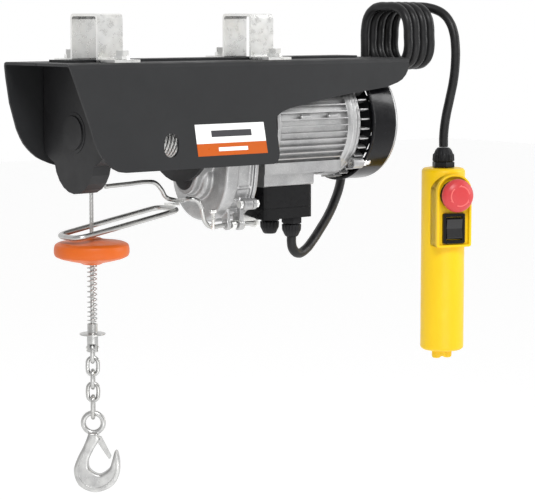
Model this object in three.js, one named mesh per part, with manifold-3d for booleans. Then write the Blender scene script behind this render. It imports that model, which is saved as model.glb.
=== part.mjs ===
// Electric wire rope hoist that hangs under a square beam.
// Millimetres, +Z up. X runs along the beam towards the motor, Y across it.
// The origin is on the raised seat that the beam rests on, halfway between the two straps.
// Inside the hoist group, heights are measured from the frame's top sheet.
import * as THREE from 'three';
import { mergeVertices } from 'three/addons/utils/BufferGeometryUtils.js';
import Module from 'manifold-3d';

const wasm = await Module();
wasm.setup();

// ---------------------------------------------------------------- driving dimensions
const gap = 0.3;                  // room between pieces that touch

const beamSide = 45;              // square beam the hoist hangs from
const beamPlay = 0.4;             // room between the beam and a strap
const seatRise = 2.7;             // raised seat above the top sheet
const seatWidth = 36;
const seatStart = -150;
const seatEnd = 250;

const sheet = 3;                  // frame sheet thickness
const frameWidth = 128;
const frameStart = -178;
const frameEnd = 290.4;
const frameDepth = 114;           // height of the side plates
const windowX = -50.6;            // oval window over the rope drum
const windowZ = -88;
const windowWidth = 19;
const windowHeight = 25.5;

const strapX = 102;               // straps stand at plus and minus this
const strapWidth = 32;
const strapThick = 3;
const strapFoot = 58;             // half of the length over both feet
const boltY = 48;
const boltRadius = 4;
const boltHead = 5.5;             // head height
const boltAcross = 13;            // head across flats
const washerRadius = 8.6;
const nutWasher = 7.4;
const washerThick = 1.8;

const axisZ = -74.5;              // rope drum, drum gear and motor share this axis
const shaftRadius = 8;
const runGap = 0.05;              // running clearance on a radius

const supportFace = -132;         // front of the drum's end support
const supportReach = 22;          // depth of its rim
const supportSheet = 3;
const supportHalf = 58;
const supportBowl = 38.5;         // radius of its round bottom
const supportBowlZ = -101;
const bossRadius = 22.25;
const bearingRadius = 16;
const bearingWidth = 9;
const bearingSides = 16;

const ropeWire = 4.5;             // rope diameter
const ropeLayers = 3;
const drumRadius = 20;
const drumStart = -107.5;         // inside faces of the drum's flanges
const drumEnd = 0;
const drumFlange = 46;
const flangeThick = 3;

const gearModule = 1.75;
const gearTeeth = 51;
const pinionTeeth = 9;
const gearWidth = 12;
const toothPlay = 0.4;            // backlash at the pitch circle
const caseWall = 3.5;
const caseStart = 30;
const caseEnd = 70;
const caseRoom = 11.8;            // from the gears' tips to the outside of the case's round part
const lobeRoom = 4.8;             // and to the outside of its lobe
const neckStart = 9;
const plateRadius = 59.5;         // round plate between the drum and the gearbox
const plateHalf = 40;
const flangePlate = 5;

const motorStart = 97;
const motorEnd = 213;
const motorRadius = 56;           // root of the cooling fins
const finHeight = 4.5;
const finThick = 1.8;
const finCount = 48;
const statorRadius = 50;
const rotorRadius = 27;
const shieldRadius = 62;
const ribCount = 12;
const coverStart = 231;
const coverEnd = 272.6;
const coverRadius = 68;
const coverWall = 2;

const boxStart = 94;
const boxEnd = 164;
const boxHalf = 40;
const boxTop = -142.5;
const boxBottom = -179;
const boxWall = 2.5;
const glandX = 148;
const controlGlandY = -22;
const mainsGlandY = 18;
const glandLength = 23;

const ropeX = -89.5;              // where the rope hangs
const leverY = -31.5;             // pivot axis of the limit lever
const leverDrop = 55;             // pivot axis below the idler's axis
const armDrop = 25.5;             // the rod's bend round the case, below the same axis
const leverWire = 5;
const loopWire = 6;
const loopStart = -121;
const loopEnd = 14.4;
const loopHalf = 20.5;
const loopStartZ = -188.9;
const loopEndZ = -166;

const stopperTop = -191.4;
const stopperBottom = -221;
const stopperRadius = 41.2;
const sleeveTop = -285.8;
const sleeveBottom = -317.3;
const chainWire = 4.5;
const chainInside = 6.6;          // inside width of a link
const chainLength = 14.65;        // inside length of a link
const lastLinkLength = 19.6;
const linkCount = 5;
const hookThick = 12;
const hookTurn = THREE.MathUtils.degToRad(-38.5);

const cableRadius = 5.5;
const coilStart = 304;
const coilEnd = 365;
const coilHalf = 40.25;
const pendantX = 376.5;
const pendantY = -33;
const pendantTurn = THREE.MathUtils.degToRad(-19.5);
const pendantTop = -134;
const pendantBottom = -355.5;
const pendantRadius = 26.25;
const pendantWall = 2.75;
const hoodWidth = 45;
const hoodProud = 2.75;           // hood's face in front of the body
const hoodRim = 3;                // wall round the controls, and how far it stands out
const hoodRise = 4.8;
const hoodTop = -140;
const hoodBottom = -227.5;
const estopZ = -164.7;
const rockerZ = -204.9;

// values worked out from the ones above
const ropeRadius = ropeWire / 2;
const woundRadius = drumRadius + gap + ropeLayers * ropeWire;
const ropeY = woundRadius - ropeRadius;
const ropeTop = axisZ - Math.sqrt(woundRadius ** 2 - (woundRadius - ropeWire) ** 2) - 3 * gap;
const centreDistance = gearModule * (gearTeeth + pinionTeeth) / 2;
const idlerZ = axisZ - centreDistance;
const gearTip = gearModule * (gearTeeth / 2 + 0.9);
const caseRadius = gearTip + caseRoom;
const lobeRadius = gearTip + lobeRoom;
const leverZ = idlerZ - leverDrop;
const hoodFront = -pendantRadius - hoodProud;

// ---------------------------------------------------------------- materials
const finish = (color, roughness, metalness) =>
  () => new THREE.MeshStandardMaterial({ color, roughness, metalness });
const anthracitePaint = finish(0x3a3b3d, 0.45, 0.2);
const blackPaint = finish(0x1b1b1c, 0.5, 0.2);
const brightZinc = finish(0xd8d8d6, 0.25, 1);
const castAluminium = finish(0xbfbfbf, 0.45, 0.9);
const steel = finish(0xa8a9ab, 0.3, 1);
const copper = finish(0xa8623a, 0.4, 0.9);
const glossBlack = finish(0x0c0c0d, 0.15, 0);
const mattBlack = finish(0x171717, 0.6, 0);
const orangePlastic = finish(0xdf5f1d, 0.4, 0);
const yellowPlastic = finish(0xf2b90c, 0.4, 0);
const redPlastic = finish(0xd2202a, 0.35, 0);
const greyPlastic = finish(0x8c8d8f, 0.5, 0);

// ---------------------------------------------------------------- shape helpers
const hoist = new THREE.Group();
hoist.position.z = -seatRise;

const v3 = (x, y, z) => new THREE.Vector3(x, y, z);

function place(name, geometry, material, parent = hoist) {
  const mesh = new THREE.Mesh(geometry, material());
  mesh.name = name;
  parent.add(mesh);
  return mesh;
}

function toSolid(geometry) {
  const bare = geometry.clone();
  bare.deleteAttribute('normal');
  bare.deleteAttribute('uv');
  const merged = mergeVertices(bare, 1e-4);
  const triVerts = Uint32Array.from(merged.index.array);
  const vertProperties = Float32Array.from(merged.attributes.position.array);
  return new wasm.Manifold(new wasm.Mesh({ numProp: 3, vertProperties, triVerts }));
}

function toGeometry(solid) {
  const mesh = solid.getMesh();
  const geometry = new THREE.BufferGeometry();
  geometry.setAttribute('position', new THREE.Float32BufferAttribute(mesh.vertProperties, 3));
  geometry.setIndex(new THREE.BufferAttribute(Uint32Array.from(mesh.triVerts), 1));
  return geometry;
}

const join = (...pieces) => toGeometry(pieces.map(toSolid).reduce((a, b) => a.add(b)));
const common = (a, b) => toGeometry(toSolid(a).intersect(toSolid(b)));

function cut(piece, ...tools) {
  return toGeometry(tools.map(toSolid).reduce((a, b) => a.subtract(b), toSolid(piece)));
}

// A closed outline from corners [a, b, radius]; the radius rounds that corner.
function outline(corners) {
  const shape = new THREE.Shape();
  const count = corners.length;
  corners.forEach(([a, b, radius = 0], i) => {
    const corner = new THREE.Vector2(a, b);
    const before = new THREE.Vector2(...corners[(i + count - 1) % count]);
    const after = new THREE.Vector2(...corners[(i + 1) % count]);
    const into = corner.clone().add(before.sub(corner).setLength(radius));
    const out = corner.clone().add(after.sub(corner).setLength(radius));
    if (i === 0) shape.moveTo(into.x, into.y);
    else shape.lineTo(into.x, into.y);
    if (radius > 0) shape.quadraticCurveTo(a, b, out.x, out.y);
  });
  return shape;
}

const rectangle = (a0, b0, a1, b1, radius = 0) =>
  outline([[a0, b0, radius], [a1, b0, radius], [a1, b1, radius], [a0, b1, radius]]);

function circle(a, b, radius) {
  return new THREE.Shape().absarc(a, b, radius, 0, 2 * Math.PI);
}

// Two circles, one above the other, and the straight lines that join them.
function pear(a, topB, topRadius, lowB, lowRadius) {
  const lean = Math.asin((topRadius - lowRadius) / (topB - lowB));
  const shape = new THREE.Shape();
  shape.absarc(a, topB, topRadius, -lean, Math.PI + lean);
  shape.absarc(a, lowB, lowRadius, Math.PI + lean, 2 * Math.PI - lean);
  return shape;
}

function prism(shape, low, high, columns, curveSegments) {
  const geometry = new THREE.ExtrudeGeometry(shape, { depth: high - low, bevelEnabled: false, curveSegments });
  geometry.translate(0, 0, low);
  return geometry.applyMatrix4(new THREE.Matrix4().makeBasis(...columns));
}

// The outline of a prism along X is drawn in Y and Z, and so on.
const prismX = (shape, low, high, segments = 8) =>
  prism(shape, low, high, [v3(0, 1, 0), v3(0, 0, 1), v3(1, 0, 0)], segments);
const prismY = (shape, low, high, segments = 8) =>
  prism(shape, -high, -low, [v3(1, 0, 0), v3(0, 0, 1), v3(0, -1, 0)], segments);
const prismZ = (shape, low, high, segments = 8) =>
  prism(shape, low, high, [v3(1, 0, 0), v3(0, 1, 0), v3(0, 0, 1)], segments);

const block = (low, high) => {
  const size = high.clone().sub(low);
  const middle = high.clone().add(low).multiplyScalar(0.5);
  return new THREE.BoxGeometry(size.x, size.y, size.z).translate(middle.x, middle.y, middle.z);
};

// A turned piece from pairs [along, radius]; closed rings repeat their first pair at the end.
function turned(profile, segments) {
  return new THREE.LatheGeometry(profile.map(([along, radius]) => new THREE.Vector2(radius, along)), segments);
}
const turnedX = (profile, y, z, segments = 24) =>
  turned(profile, segments).rotateZ(-Math.PI / 2).translate(0, y, z);
const turnedZ = (profile, x, y, segments = 20) =>
  turned(profile, segments).rotateX(Math.PI / 2).translate(x, y, 0);
const turnedY = (profile, x, z, segments = 20) => turned(profile, segments).translate(x, 0, z);

const rod = (low, high, radius) => [[low, 0], [low, radius], [high, radius], [high, 0]];
const ring = (low, high, inner, outer) =>
  [[low, inner], [low, outer], [high, outer], [high, inner], [low, inner]];

// A round wire or cable along points; the section has the given number of sides.
function wire(points, radius, steps, sides = 6) {
  const path = new THREE.CatmullRomCurve3(points, false, 'centripetal');
  const section = new THREE.Shape();
  for (let i = 0; i < sides; i += 1) {
    const angle = 2 * Math.PI * i / sides;
    const corner = [radius * Math.cos(angle), radius * Math.sin(angle)];
    if (i === 0) section.moveTo(...corner);
    else section.lineTo(...corner);
  }
  return new THREE.ExtrudeGeometry(section, { steps, extrudePath: path, bevelEnabled: false });
}

// ---------------------------------------------------------------- frame and straps
function frame() {
  const half = frameWidth / 2;
  const channel = outline([
    [-half, -frameDepth - 1], [-half + sheet, -frameDepth - 1], [-half + sheet, -sheet, 2],
    [half - sheet, -sheet, 2], [half - sheet, -frameDepth - 1], [half, -frameDepth - 1],
    [half, 0, 5], [-half, 0, 5],
  ]);
  const start = [[frameStart, 1], [frameStart, 0]];
  const nearStart = [[-166, -30], [-153.5, -62], [-145, -87, 8], [-134, -103, 8], [-117, -frameDepth, 8]];
  const farStart = [[-176, -18], [-172, -44], [-164, -72], [-156, -89, 8], [-140, -104, 8], [-115, -frameDepth, 8]];
  const rest = [
    [95, -frameDepth, 7], [97, -103, 4], [90, -60, 10],
    [112, -53, 4], [186, -41], [256, -33, 6], [280, -26, 8], [289, -15, 6], [frameEnd, -4], [frameEnd, 1],
  ];
  const sides = join(
    prismY(outline([...start, ...nearStart, ...rest]), -half - 1, 1, 2),
    prismY(outline([...start, ...farStart, ...rest]), 0, half + 1, 2),
  );
  const body = common(prismX(channel, frameStart - 1, frameEnd + 1, 2), sides);
  const seat = block(v3(seatStart, -seatWidth / 2, -1), v3(seatEnd, seatWidth / 2, seatRise));
  const openings = [];
  const round = windowWidth / 2;
  const straight = (windowHeight - windowWidth) / 2;
  const oval = new THREE.Shape();
  oval.absarc(windowX, windowZ + straight, round, 0, Math.PI);
  oval.absarc(windowX, windowZ - straight, round, Math.PI, 2 * Math.PI);
  openings.push(prismY(oval, -half - 1, half + 1, 5));
  for (const x of [-strapX, strapX]) {
    for (const y of [-boltY, boltY]) {
      openings.push(turnedZ(rod(-sheet - 1, 1, boltRadius + gap), x, y, 12));
    }
  }
  return cut(join(body, seat), ...openings);
}

function strap(x) {
  const inner = beamSide / 2 + beamPlay;
  const outer = inner + strapThick;
  const ceiling = seatRise + beamSide + beamPlay;
  const profile = outline([
    [-strapFoot, gap], [-inner, gap, 3], [-inner, ceiling, 3], [inner, ceiling, 3], [inner, gap, 3],
    [strapFoot, gap], [strapFoot, gap + strapThick], [outer, gap + strapThick, 2],
    [outer, ceiling + strapThick, 5], [-outer, ceiling + strapThick, 5],
    [-outer, gap + strapThick, 2], [-strapFoot, gap + strapThick],
  ]);
  const band = prismX(profile, x - strapWidth / 2, x + strapWidth / 2, 2);
  const holes = [-boltY, boltY].map((y) => turnedZ(rod(0, 5, boltRadius + gap), x, y, 12));
  return cut(band, ...holes);
}

function hexagon(across, a, b) {
  const corners = [];
  for (let i = 0; i < 6; i += 1) {
    const angle = Math.PI * i / 3;
    const reach = across / Math.sqrt(3);
    corners.push([a + reach * Math.cos(angle), b + reach * Math.sin(angle)]);
  }
  return outline(corners);
}

// A hexagon bolt through a strap's foot and the top sheet, with its washers and its nut.
function strapBolt(x, y) {
  const seatZ = 2 * gap + strapThick;
  const headZ = seatZ + 2 * washerThick;
  const nutZ = -sheet - gap;
  return join(
    turnedZ(rod(seatZ, headZ, washerRadius), x, y, 10),
    prismZ(hexagon(boltAcross, x, y), headZ - 0.1, headZ + boltHead),
    turnedZ(rod(nutZ - 10, headZ, boltRadius), x, y, 8),
    turnedZ(rod(nutZ - washerThick, nutZ, nutWasher), x, y, 10),
    prismZ(hexagon(boltAcross, x, y), nutZ - 8, nutZ - washerThick + 0.1),
  );
}

// ---------------------------------------------------------------- rope drum and its end support
function supportOutline(inset) {
  const top = -sheet - gap - inset;
  const half = supportHalf - inset;
  const bowl = supportBowl - inset;
  const shape = new THREE.Shape();
  shape.moveTo(-half, top);
  shape.lineTo(-half, -92);
  shape.quadraticCurveTo(-half + 1, -101, -bowl, -108);
  shape.absarc(0, supportBowlZ, bowl, Math.PI + 0.18, 2 * Math.PI - 0.18);
  shape.lineTo(bowl, -108);
  shape.quadraticCurveTo(half - 1, -101, half, -92);
  shape.lineTo(half, top);
  shape.closePath();
  return shape;
}

function endSupport() {
  const rim = supportFace + supportReach;
  const plate = prismX(supportOutline(0), supportFace, rim, 5);
  const hollow = prismX(supportOutline(supportSheet), supportFace + supportSheet, rim + 1, 5);
  const boss = turnedX([[supportFace - 2, 0], [supportFace - 2, 18], [supportFace - 0.5, 18.5],
    [supportFace - 0.5, bossRadius], [supportFace + 12, bossRadius], [supportFace + 12, 0]], 0, axisZ);
  const pocket = turnedX(rod(supportFace + 2, supportFace + 13, bearingRadius + gap), 0, axisZ);
  return cut(join(cut(plate, hollow), boss), pocket);
}

function drum() {
  const left = drumStart - flangeThick;
  const right = drumEnd + flangeThick;
  const bore = shaftRadius + gap;
  const inside = drumRadius - 4;
  return turnedX([
    [left, bore], [left, drumFlange], [drumStart, drumFlange], [drumStart, drumRadius],
    [drumEnd, drumRadius], [drumEnd, drumFlange], [right, drumFlange], [right, bore],
    [right - 6, bore], [right - 6, inside], [left + 6, inside], [left + 6, bore], [left, bore],
  ], 0, axisZ, 20);
}

// ---------------------------------------------------------------- gears
function gearOutline(teeth, z, phase) {
  const pitch = teeth * gearModule / 2;
  const base = pitch * Math.cos(THREE.MathUtils.degToRad(20));
  const tip = pitch + 0.9 * gearModule;
  const root = pitch - 1.25 * gearModule;
  const involute = (radius) => Math.sqrt((radius / base) ** 2 - 1) - Math.acos(base / radius);
  const half = Math.PI / (2 * teeth) - toothPlay / (2 * pitch) + involute(pitch);
  const foot = Math.max(root, base);
  const flank = root < base ? [[root, half - involute(foot)]] : [];
  for (const radius of root < base ? [foot, (foot + tip) / 2, tip] : [foot, tip]) {
    flank.push([radius, half - involute(radius)]);
  }
  const shape = new THREE.Shape();
  for (let i = 0; i < teeth; i += 1) {
    const centre = phase + 2 * Math.PI * i / teeth;
    const tooth = [...flank.map(([r, a]) => [r, centre - a]), ...flank.toReversed().map(([r, a]) => [r, centre + a])];
    tooth.forEach(([r, a], n) => {
      const corner = [r * Math.cos(a), z + r * Math.sin(a)];
      if (i + n === 0) shape.moveTo(...corner);
      else shape.lineTo(...corner);
    });
  }
  return shape;
}

// Plate between the drum and the gearbox, hung from the top sheet.
function gearPlate() {
  const low = drumEnd + flangeThick + 2 * gap;
  const high = neckStart - gap;
  const plate = join(
    turnedX(rod(low, high, plateRadius), 0, axisZ, 32),
    block(v3(low, -plateHalf, axisZ), v3(high, plateHalf, -sheet - gap)),
  );
  return cut(plate, turnedX(rod(low - 1, high + 1, shaftRadius + gap), 0, axisZ, 16));
}

const up = Math.PI / 2;
const pinionPhase = Math.PI / pinionTeeth;
const drumGearX = 37;
const idlerGearX = 55;

function wheel(z, phase, x, bore) {
  const shape = gearOutline(gearTeeth, z, phase);
  shape.holes.push(new THREE.Path().absarc(0, z, bore, 0, 2 * Math.PI, true));
  return prismX(shape, x, x + gearWidth, 7);
}

function idlerShaft() {
  return join(
    turnedX(rod(caseStart - 16, caseEnd - 1, 6), 0, idlerZ, 14),
    prismX(gearOutline(pinionTeeth, idlerZ, up + pinionPhase), drumGearX - 2, drumGearX + gearWidth + 2),
  );
}

function motorShaft() {
  return join(
    turnedX(rod(idlerGearX + gearWidth, coverEnd - 18, shaftRadius), 0, axisZ, 16),
    prismX(gearOutline(pinionTeeth, axisZ, -up + pinionPhase), idlerGearX - 1, idlerGearX + gearWidth + 1),
  );
}

// ---------------------------------------------------------------- gearbox
const lowLugZ = idlerZ - 31.5;
const highLugZ = axisZ + 32.5;
const lugPlaces = [[-45.5, lowLugZ], [45.5, lowLugZ], [-47, highLugZ], [47, highLugZ]];
const lugRadius = 6.5;
const lugBolt = 2.5;

function gearboxCase() {
  const step = 22;
  const shell = join(
    prismX(pear(0, axisZ, 38, idlerZ, 18), neckStart, step + 1, 4),
    prismX(pear(0, axisZ, 46, idlerZ, 21), step, caseStart + 1, 4),
    prismX(pear(0, axisZ, caseRadius - 3, idlerZ, lobeRadius - 3), caseStart, caseStart + 4, 6),
    prismX(pear(0, axisZ, caseRadius, idlerZ, lobeRadius), caseStart + 3, caseEnd, 6),
    block(v3(40, -26, axisZ), v3(caseEnd, 26, -sheet - gap)),
    block(v3(44, leverY - 6, leverZ - 5.5), v3(52, leverY + 8, idlerZ - 30)),
    block(v3(caseEnd - 8, leverY - 6, leverZ - 5.5), v3(caseEnd - 1, leverY + 8, idlerZ - 30)),
    block(v3(48, -8, idlerZ - lobeRadius - 3), v3(64, 8, idlerZ - lobeRadius + 5)),
    ...lugPlaces.map(([y, z]) => turnedX(rod(caseEnd - 12, caseEnd, lugRadius), y, z, 8)),
  );
  const leverBore = turnedX(rod(caseStart, caseEnd + 1, leverWire / 2 + gap), leverY, leverZ, 8);
  const cavity = prismX(pear(0, axisZ, caseRadius - caseWall - 1, idlerZ, lobeRadius - caseWall),
    caseStart + caseWall + 1, caseEnd + 1, 6);
  const shaftBore = turnedX(rod(0, caseEnd, shaftRadius + gap), 0, axisZ, 16);
  const idlerBore = turnedX(rod(caseStart - 17, caseEnd, 6 + gap), 0, idlerZ, 14);
  const boltBores = lugPlaces.map(([y, z]) => turnedX(rod(caseEnd - 13, caseEnd + 1, lugBolt + gap), y, z, 6));
  return cut(shell, leverBore, cavity, shaftBore, idlerBore, ...boltBores);
}

function gearboxCover() {
  const low = caseEnd + gap;
  const lugs = lugPlaces.map(([y, z]) => turnedX(rod(low, low + flangePlate, lugRadius), y, z, 8));
  const plate = join(prismX(pear(0, axisZ, caseRadius + 1.5, idlerZ, lobeRadius + 1.5), low, low + flangePlate, 6),
    turnedX(rod(low, motorStart - gap, 34), 0, axisZ), ...lugs);
  const shaftBore = turnedX(rod(low - 1, motorStart + 1, shaftRadius + gap), 0, axisZ, 16);
  const leverBore = turnedX(rod(low - 1, low + flangePlate + 1, leverWire / 2 + gap), leverY, leverZ, 8);
  const boltBores = lugPlaces.map(([y, z]) => turnedX(rod(low - 1, low + 9, lugBolt + gap), y, z, 6));
  return cut(plate, shaftBore, leverBore, ...boltBores);
}

function gearboxBolt(y, z) {
  const face = caseEnd + gap + flangePlate + gap;
  return join(
    turnedX(rod(caseEnd - 16, face + 1, lugBolt), y, z, 6),
    prismX(hexagon(8, y, z), face, face + 4),
    prismX(hexagon(8, y, z), caseEnd - 16, caseEnd - 12 - gap),
  );
}

// ---------------------------------------------------------------- motor
function motorHousing() {
  const shape = new THREE.Shape();
  const finAngle = finThick / 2 / motorRadius;
  for (let i = 0; i < finCount; i += 1) {
    const centre = 2 * Math.PI * i / finCount;
    const corners = [[motorRadius, -finAngle], [motorRadius + finHeight, -finAngle * 0.8],
      [motorRadius + finHeight, finAngle * 0.8], [motorRadius, finAngle]];
    corners.forEach(([radius, offset], n) => {
      const angle = centre + offset;
      const corner = [radius * Math.cos(angle), axisZ + radius * Math.sin(angle)];
      if (i + n === 0) shape.moveTo(...corner);
      else shape.lineTo(...corner);
    });
  }
  shape.holes.push(new THREE.Path().absarc(0, axisZ, statorRadius + gap, 0, 2 * Math.PI, true));
  const front = motorStart + 6;
  const wall = turnedX(ring(motorStart, front, shaftRadius + gap, motorRadius - 1), 0, axisZ, 20);
  return join(prismX(shape, front - 1, motorEnd, 8), wall);
}

function stator() {
  const shape = circle(0, axisZ, statorRadius);
  shape.holes.push(new THREE.Path().absarc(0, axisZ, rotorRadius + 1, 0, 2 * Math.PI, true));
  const core = prismX(shape, 118, 190, 8);
  const winding = turnedX(ring(109, 199, rotorRadius + 4, statorRadius - 6), 0, axisZ, 16);
  return join(core, winding);
}

// Rear shield of the motor: a round plate whose bright ribs reach into the fan cover.
function rearShield() {
  const low = motorEnd + gap;
  const plate = turnedX([
    [low, bearingRadius + gap], [low, shieldRadius], [low + 4, shieldRadius], [low + 4, 30],
    [low + 13, 24], [low + 13, bearingRadius + gap], [low, bearingRadius + gap],
  ], 0, axisZ, 24);
  const ribs = [];
  for (let i = 0; i < ribCount; i += 1) {
    const rib = block(v3(low + 3, shieldRadius - 6, -1), v3(low + 15, shieldRadius + 3.5, 1));
    ribs.push(rib.rotateX(2 * Math.PI * i / ribCount).translate(0, 0, axisZ));
  }
  const lug = turnedX(rod(low, low + 15, 6.5), -50, -120, 10);
  const bore = turnedX(rod(low - 1, low + 16, 2.5 + gap), -50, -120, 8);
  return cut(join(plate, ...ribs, lug), bore);
}

function fanCover() {
  const end = coverEnd;
  const inner = coverRadius - coverWall;
  const cup = turnedX([
    [coverStart, inner], [coverStart, coverRadius], [end - 12, coverRadius], [end - 5, coverRadius - 2],
    [end - 1, coverRadius - 7], [end, coverRadius - 13], [end, 10], [end - coverWall, 10],
    [end - coverWall, coverRadius - 14], [end - 6, coverRadius - 6], [end - 12, inner], [coverStart, inner],
  ], 0, axisZ, 26);
  const slots = [];
  const slotCount = 8;
  for (let i = 0; i < slotCount; i += 1) {
    const slot = block(v3(end - 4, 20, -2.5), v3(end + 1, 50, 2.5));
    slots.push(slot.rotateX(2 * Math.PI * i / slotCount).translate(0, 0, axisZ));
  }
  return cut(cup, ...slots);
}

function coolingFan() {
  const start = 236;
  const disc = turnedX(ring(start, start + 3, shaftRadius + gap, 58), 0, axisZ, 16);
  const hub = turnedX(ring(start - 4, start + 12, shaftRadius + gap, 14), 0, axisZ, 14);
  const blades = [];
  const bladeCount = 6;
  for (let i = 0; i < bladeCount; i += 1) {
    const blade = block(v3(start + 2, 12, -1.2), v3(start + 16, 57, 1.2));
    blades.push(blade.rotateX(2 * Math.PI * i / bladeCount).translate(0, 0, axisZ));
  }
  return join(disc, hub, ...blades);
}

// The bore's flats, not its corners, are a running clearance from the shaft.
function ballBearing(x) {
  const bore = (shaftRadius + runGap) / Math.cos(Math.PI / bearingSides);
  return turnedX(ring(x, x + bearingWidth, bore, bearingRadius), 0, axisZ, bearingSides);
}

// ---------------------------------------------------------------- terminal box
function terminalBlock() {
  const saddle = join(
    block(v3(90, -46, -128), v3(202, 46, -108)),
    prismX(rectangle(-boxHalf - 1, boxTop + gap, boxHalf + 1, -120, 3), boxStart - 1, boxEnd + 1, 3),
  );
  const round = turnedX(rod(80, 220, motorRadius + finHeight + 4 * gap), 0, axisZ, 36);
  const hollow = block(v3(boxStart + 4, -boxHalf + 4, boxTop - 1), v3(boxEnd - 4, boxHalf - 4, -130));
  return cut(saddle, round, hollow);
}

const lidTop = boxBottom + 12;

function terminalBox() {
  const shape = rectangle(boxStart, -boxHalf, boxEnd, boxHalf, 4);
  const room = rectangle(boxStart + boxWall, -boxHalf + boxWall, boxEnd - boxWall, boxHalf - boxWall, 3);
  const walls = prismZ(shape, lidTop + gap, boxTop, 3);
  return cut(walls, prismZ(room, lidTop - 1, boxTop + 1, 3));
}

function terminalLid() {
  const shape = rectangle(boxStart, -boxHalf, boxEnd, boxHalf, 4);
  const room = rectangle(boxStart + boxWall, -boxHalf + boxWall, boxEnd - boxWall, boxHalf - boxWall, 3);
  const tray = cut(prismZ(shape, boxBottom, lidTop, 3), prismZ(room, boxBottom + boxWall, lidTop + 1, 3));
  const bores = [controlGlandY, mainsGlandY].map((y) => turnedZ(rod(boxBottom - 1, boxBottom + 5, 8 + gap), glandX, y, 12));
  return cut(tray, ...bores);
}

function cableGland(y) {
  const face = boxBottom - gap;
  return join(
    turnedZ([[face - glandLength, 0], [face - glandLength, 8], [face - 16, 10.5], [face - 8, 11.5],
      [face, 11.5], [face, 0]], glandX, y, 14),
    turnedZ(rod(face - 1, boxBottom + 8, 8), glandX, y, 12),
  );
}

// ---------------------------------------------------------------- limit lever
const pointsOf = (rows) => rows.map((row) => v3(...row));

// The bent rod: a feeler under the drum, an arm across the hoist, then the pivot shaft along X.
function leverRod() {
  const armZ = idlerZ - armDrop;
  const points = pointsOf([
    [-76, 25, -136.1], [-46, 25, -135], [-18, 25, -134.2], [-10, 24.5, -135.5], [-2, 23.5, (armZ - 133.5) / 2],
    [4, 22, armZ], [9, 16, armZ - 2.5], [5, -10, armZ - 0.5], [0, -26, armZ + 2.1], [7, leverY, armZ],
    [12, leverY, armZ - 6.3], [14.6, leverY, armZ - 15.5], [18, leverY, leverZ + 5], [25, leverY, leverZ],
  ]);
  return join(wire(points, leverWire / 2, 36), turnedX(rod(24, 91, leverWire / 2), leverY, leverZ, 6));
}

// The loop that the rope passes through; the lifting hook's stopper pushes it up.
function stopLoop() {
  const corner = 6;
  const radius = loopWire / 2;
  const slope = (loopEndZ - loopStartZ) / (loopEnd - loopStart);
  const at = (x, y) => v3(x, ropeY + y, loopStartZ + (x - loopStart) * slope);
  const middle = (loopStart + loopEnd) / 2;
  const halves = [-1, 1].map((side) => {
    const end = side < 0 ? loopStart : loopEnd;
    const lean = side * corner;
    return wire([
      at(middle - side * 2, -loopHalf), at(end - 3 * lean, -loopHalf), at(end - lean, -loopHalf),
      at(end - 0.3 * lean, -loopHalf + 0.3 * corner), at(end, -loopHalf + corner),
      at(end, 0), at(end, loopHalf - corner), at(end - 0.3 * lean, loopHalf - 0.3 * corner),
      at(end - lean, loopHalf), at(end - 3 * lean, loopHalf), at(middle - side * 2, loopHalf),
    ], radius, 20);
  });
  return join(...halves);
}

function leverArm() {
  const shape = outline([[leverY - 5, leverZ - 5, 4], [leverY + 6, leverZ - 5, 3], [-10, leverZ + 4, 2],
    [-9, leverZ + 8.5, 1.5], [leverY + 4, leverZ + 6, 3], [leverY - 5, leverZ + 5, 4]]);
  shape.holes.push(new THREE.Path().absarc(leverY, leverZ, leverWire / 2 + gap, 0, 2 * Math.PI, true));
  return prismX(shape, 86, 89, 5);
}

function limitSwitch() {
  const body = block(v3(84, -24, -167), v3(boxStart - gap, 8, -148));
  const plunger = block(v3(86, -16, -170), v3(89, -12, -166));
  return join(body, plunger);
}

// ---------------------------------------------------------------- rope end, chain and hook
const load = new THREE.Group();
load.position.set(ropeX, ropeY, 0);
hoist.add(load);

function stopper() {
  const top = stopperTop;
  const low = stopperBottom;
  return turnedZ([
    [low, 3], [low, 9], [low + 2.5, 15], [low + 6.5, 34], [low + 8, stopperRadius - 2],
    [low + 11, stopperRadius], [top - 9, stopperRadius], [top - 6, stopperRadius - 2.5],
    [top - 5, 34], [top - 2, 15], [top, 9], [top, 3], [low, 3],
  ], 0, 0, 16);
}

const pinRadius = 2;
const pinZ = sleeveBottom + 3.4;

// Flanged sleeve pressed on the rope's end; a pin across its slot carries the chain.
function ropeSleeve() {
  const body = turnedZ([
    [sleeveBottom, 0], [sleeveBottom, 6.1], [sleeveTop - 13, 6.1], [sleeveTop - 12.5, 14.2],
    [sleeveTop - 11, 14.2], [sleeveTop - 10.5, 5.6], [sleeveTop, 5.6], [sleeveTop, 0],
  ], 0, 0, 16);
  const slot = block(v3(-8, -chainWire / 2 - 0.4, sleeveBottom - 1), v3(8, chainWire / 2 + 0.4, pinZ + 9));
  const pin = turnedY(rod(-6, 6, pinRadius), 0, pinZ, 12);
  const ropeBore = turnedZ(rod(sleeveTop - 8, sleeveTop + 1, ropeRadius + gap), 0, 0, 10);
  return join(cut(body, slot, ropeBore), pin).rotateZ(hookTurn + Math.PI / 2);
}

function chainLink(centreZ, inside, edgeOn) {
  const radius = chainWire / 2;
  const across = chainInside / 2 + radius;
  const reach = inside / 2 - chainInside / 2;
  const half = (side) => {
    const points = [v3(-across, 0, side * -0.5)];
    const bends = 4;
    for (let i = 0; i <= bends; i += 1) {
      const angle = Math.PI * i / bends;
      points.push(v3(-across * Math.cos(angle), 0, side * (reach + across * Math.sin(angle))));
    }
    points.push(v3(across, 0, side * -0.5));
    return wire(points, radius, 8);
  };
  const turn = hookTurn + (edgeOn ? Math.PI / 2 : 0);
  return join(half(1), half(-1)).rotateZ(turn).translate(0, 0, centreZ);
}

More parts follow.
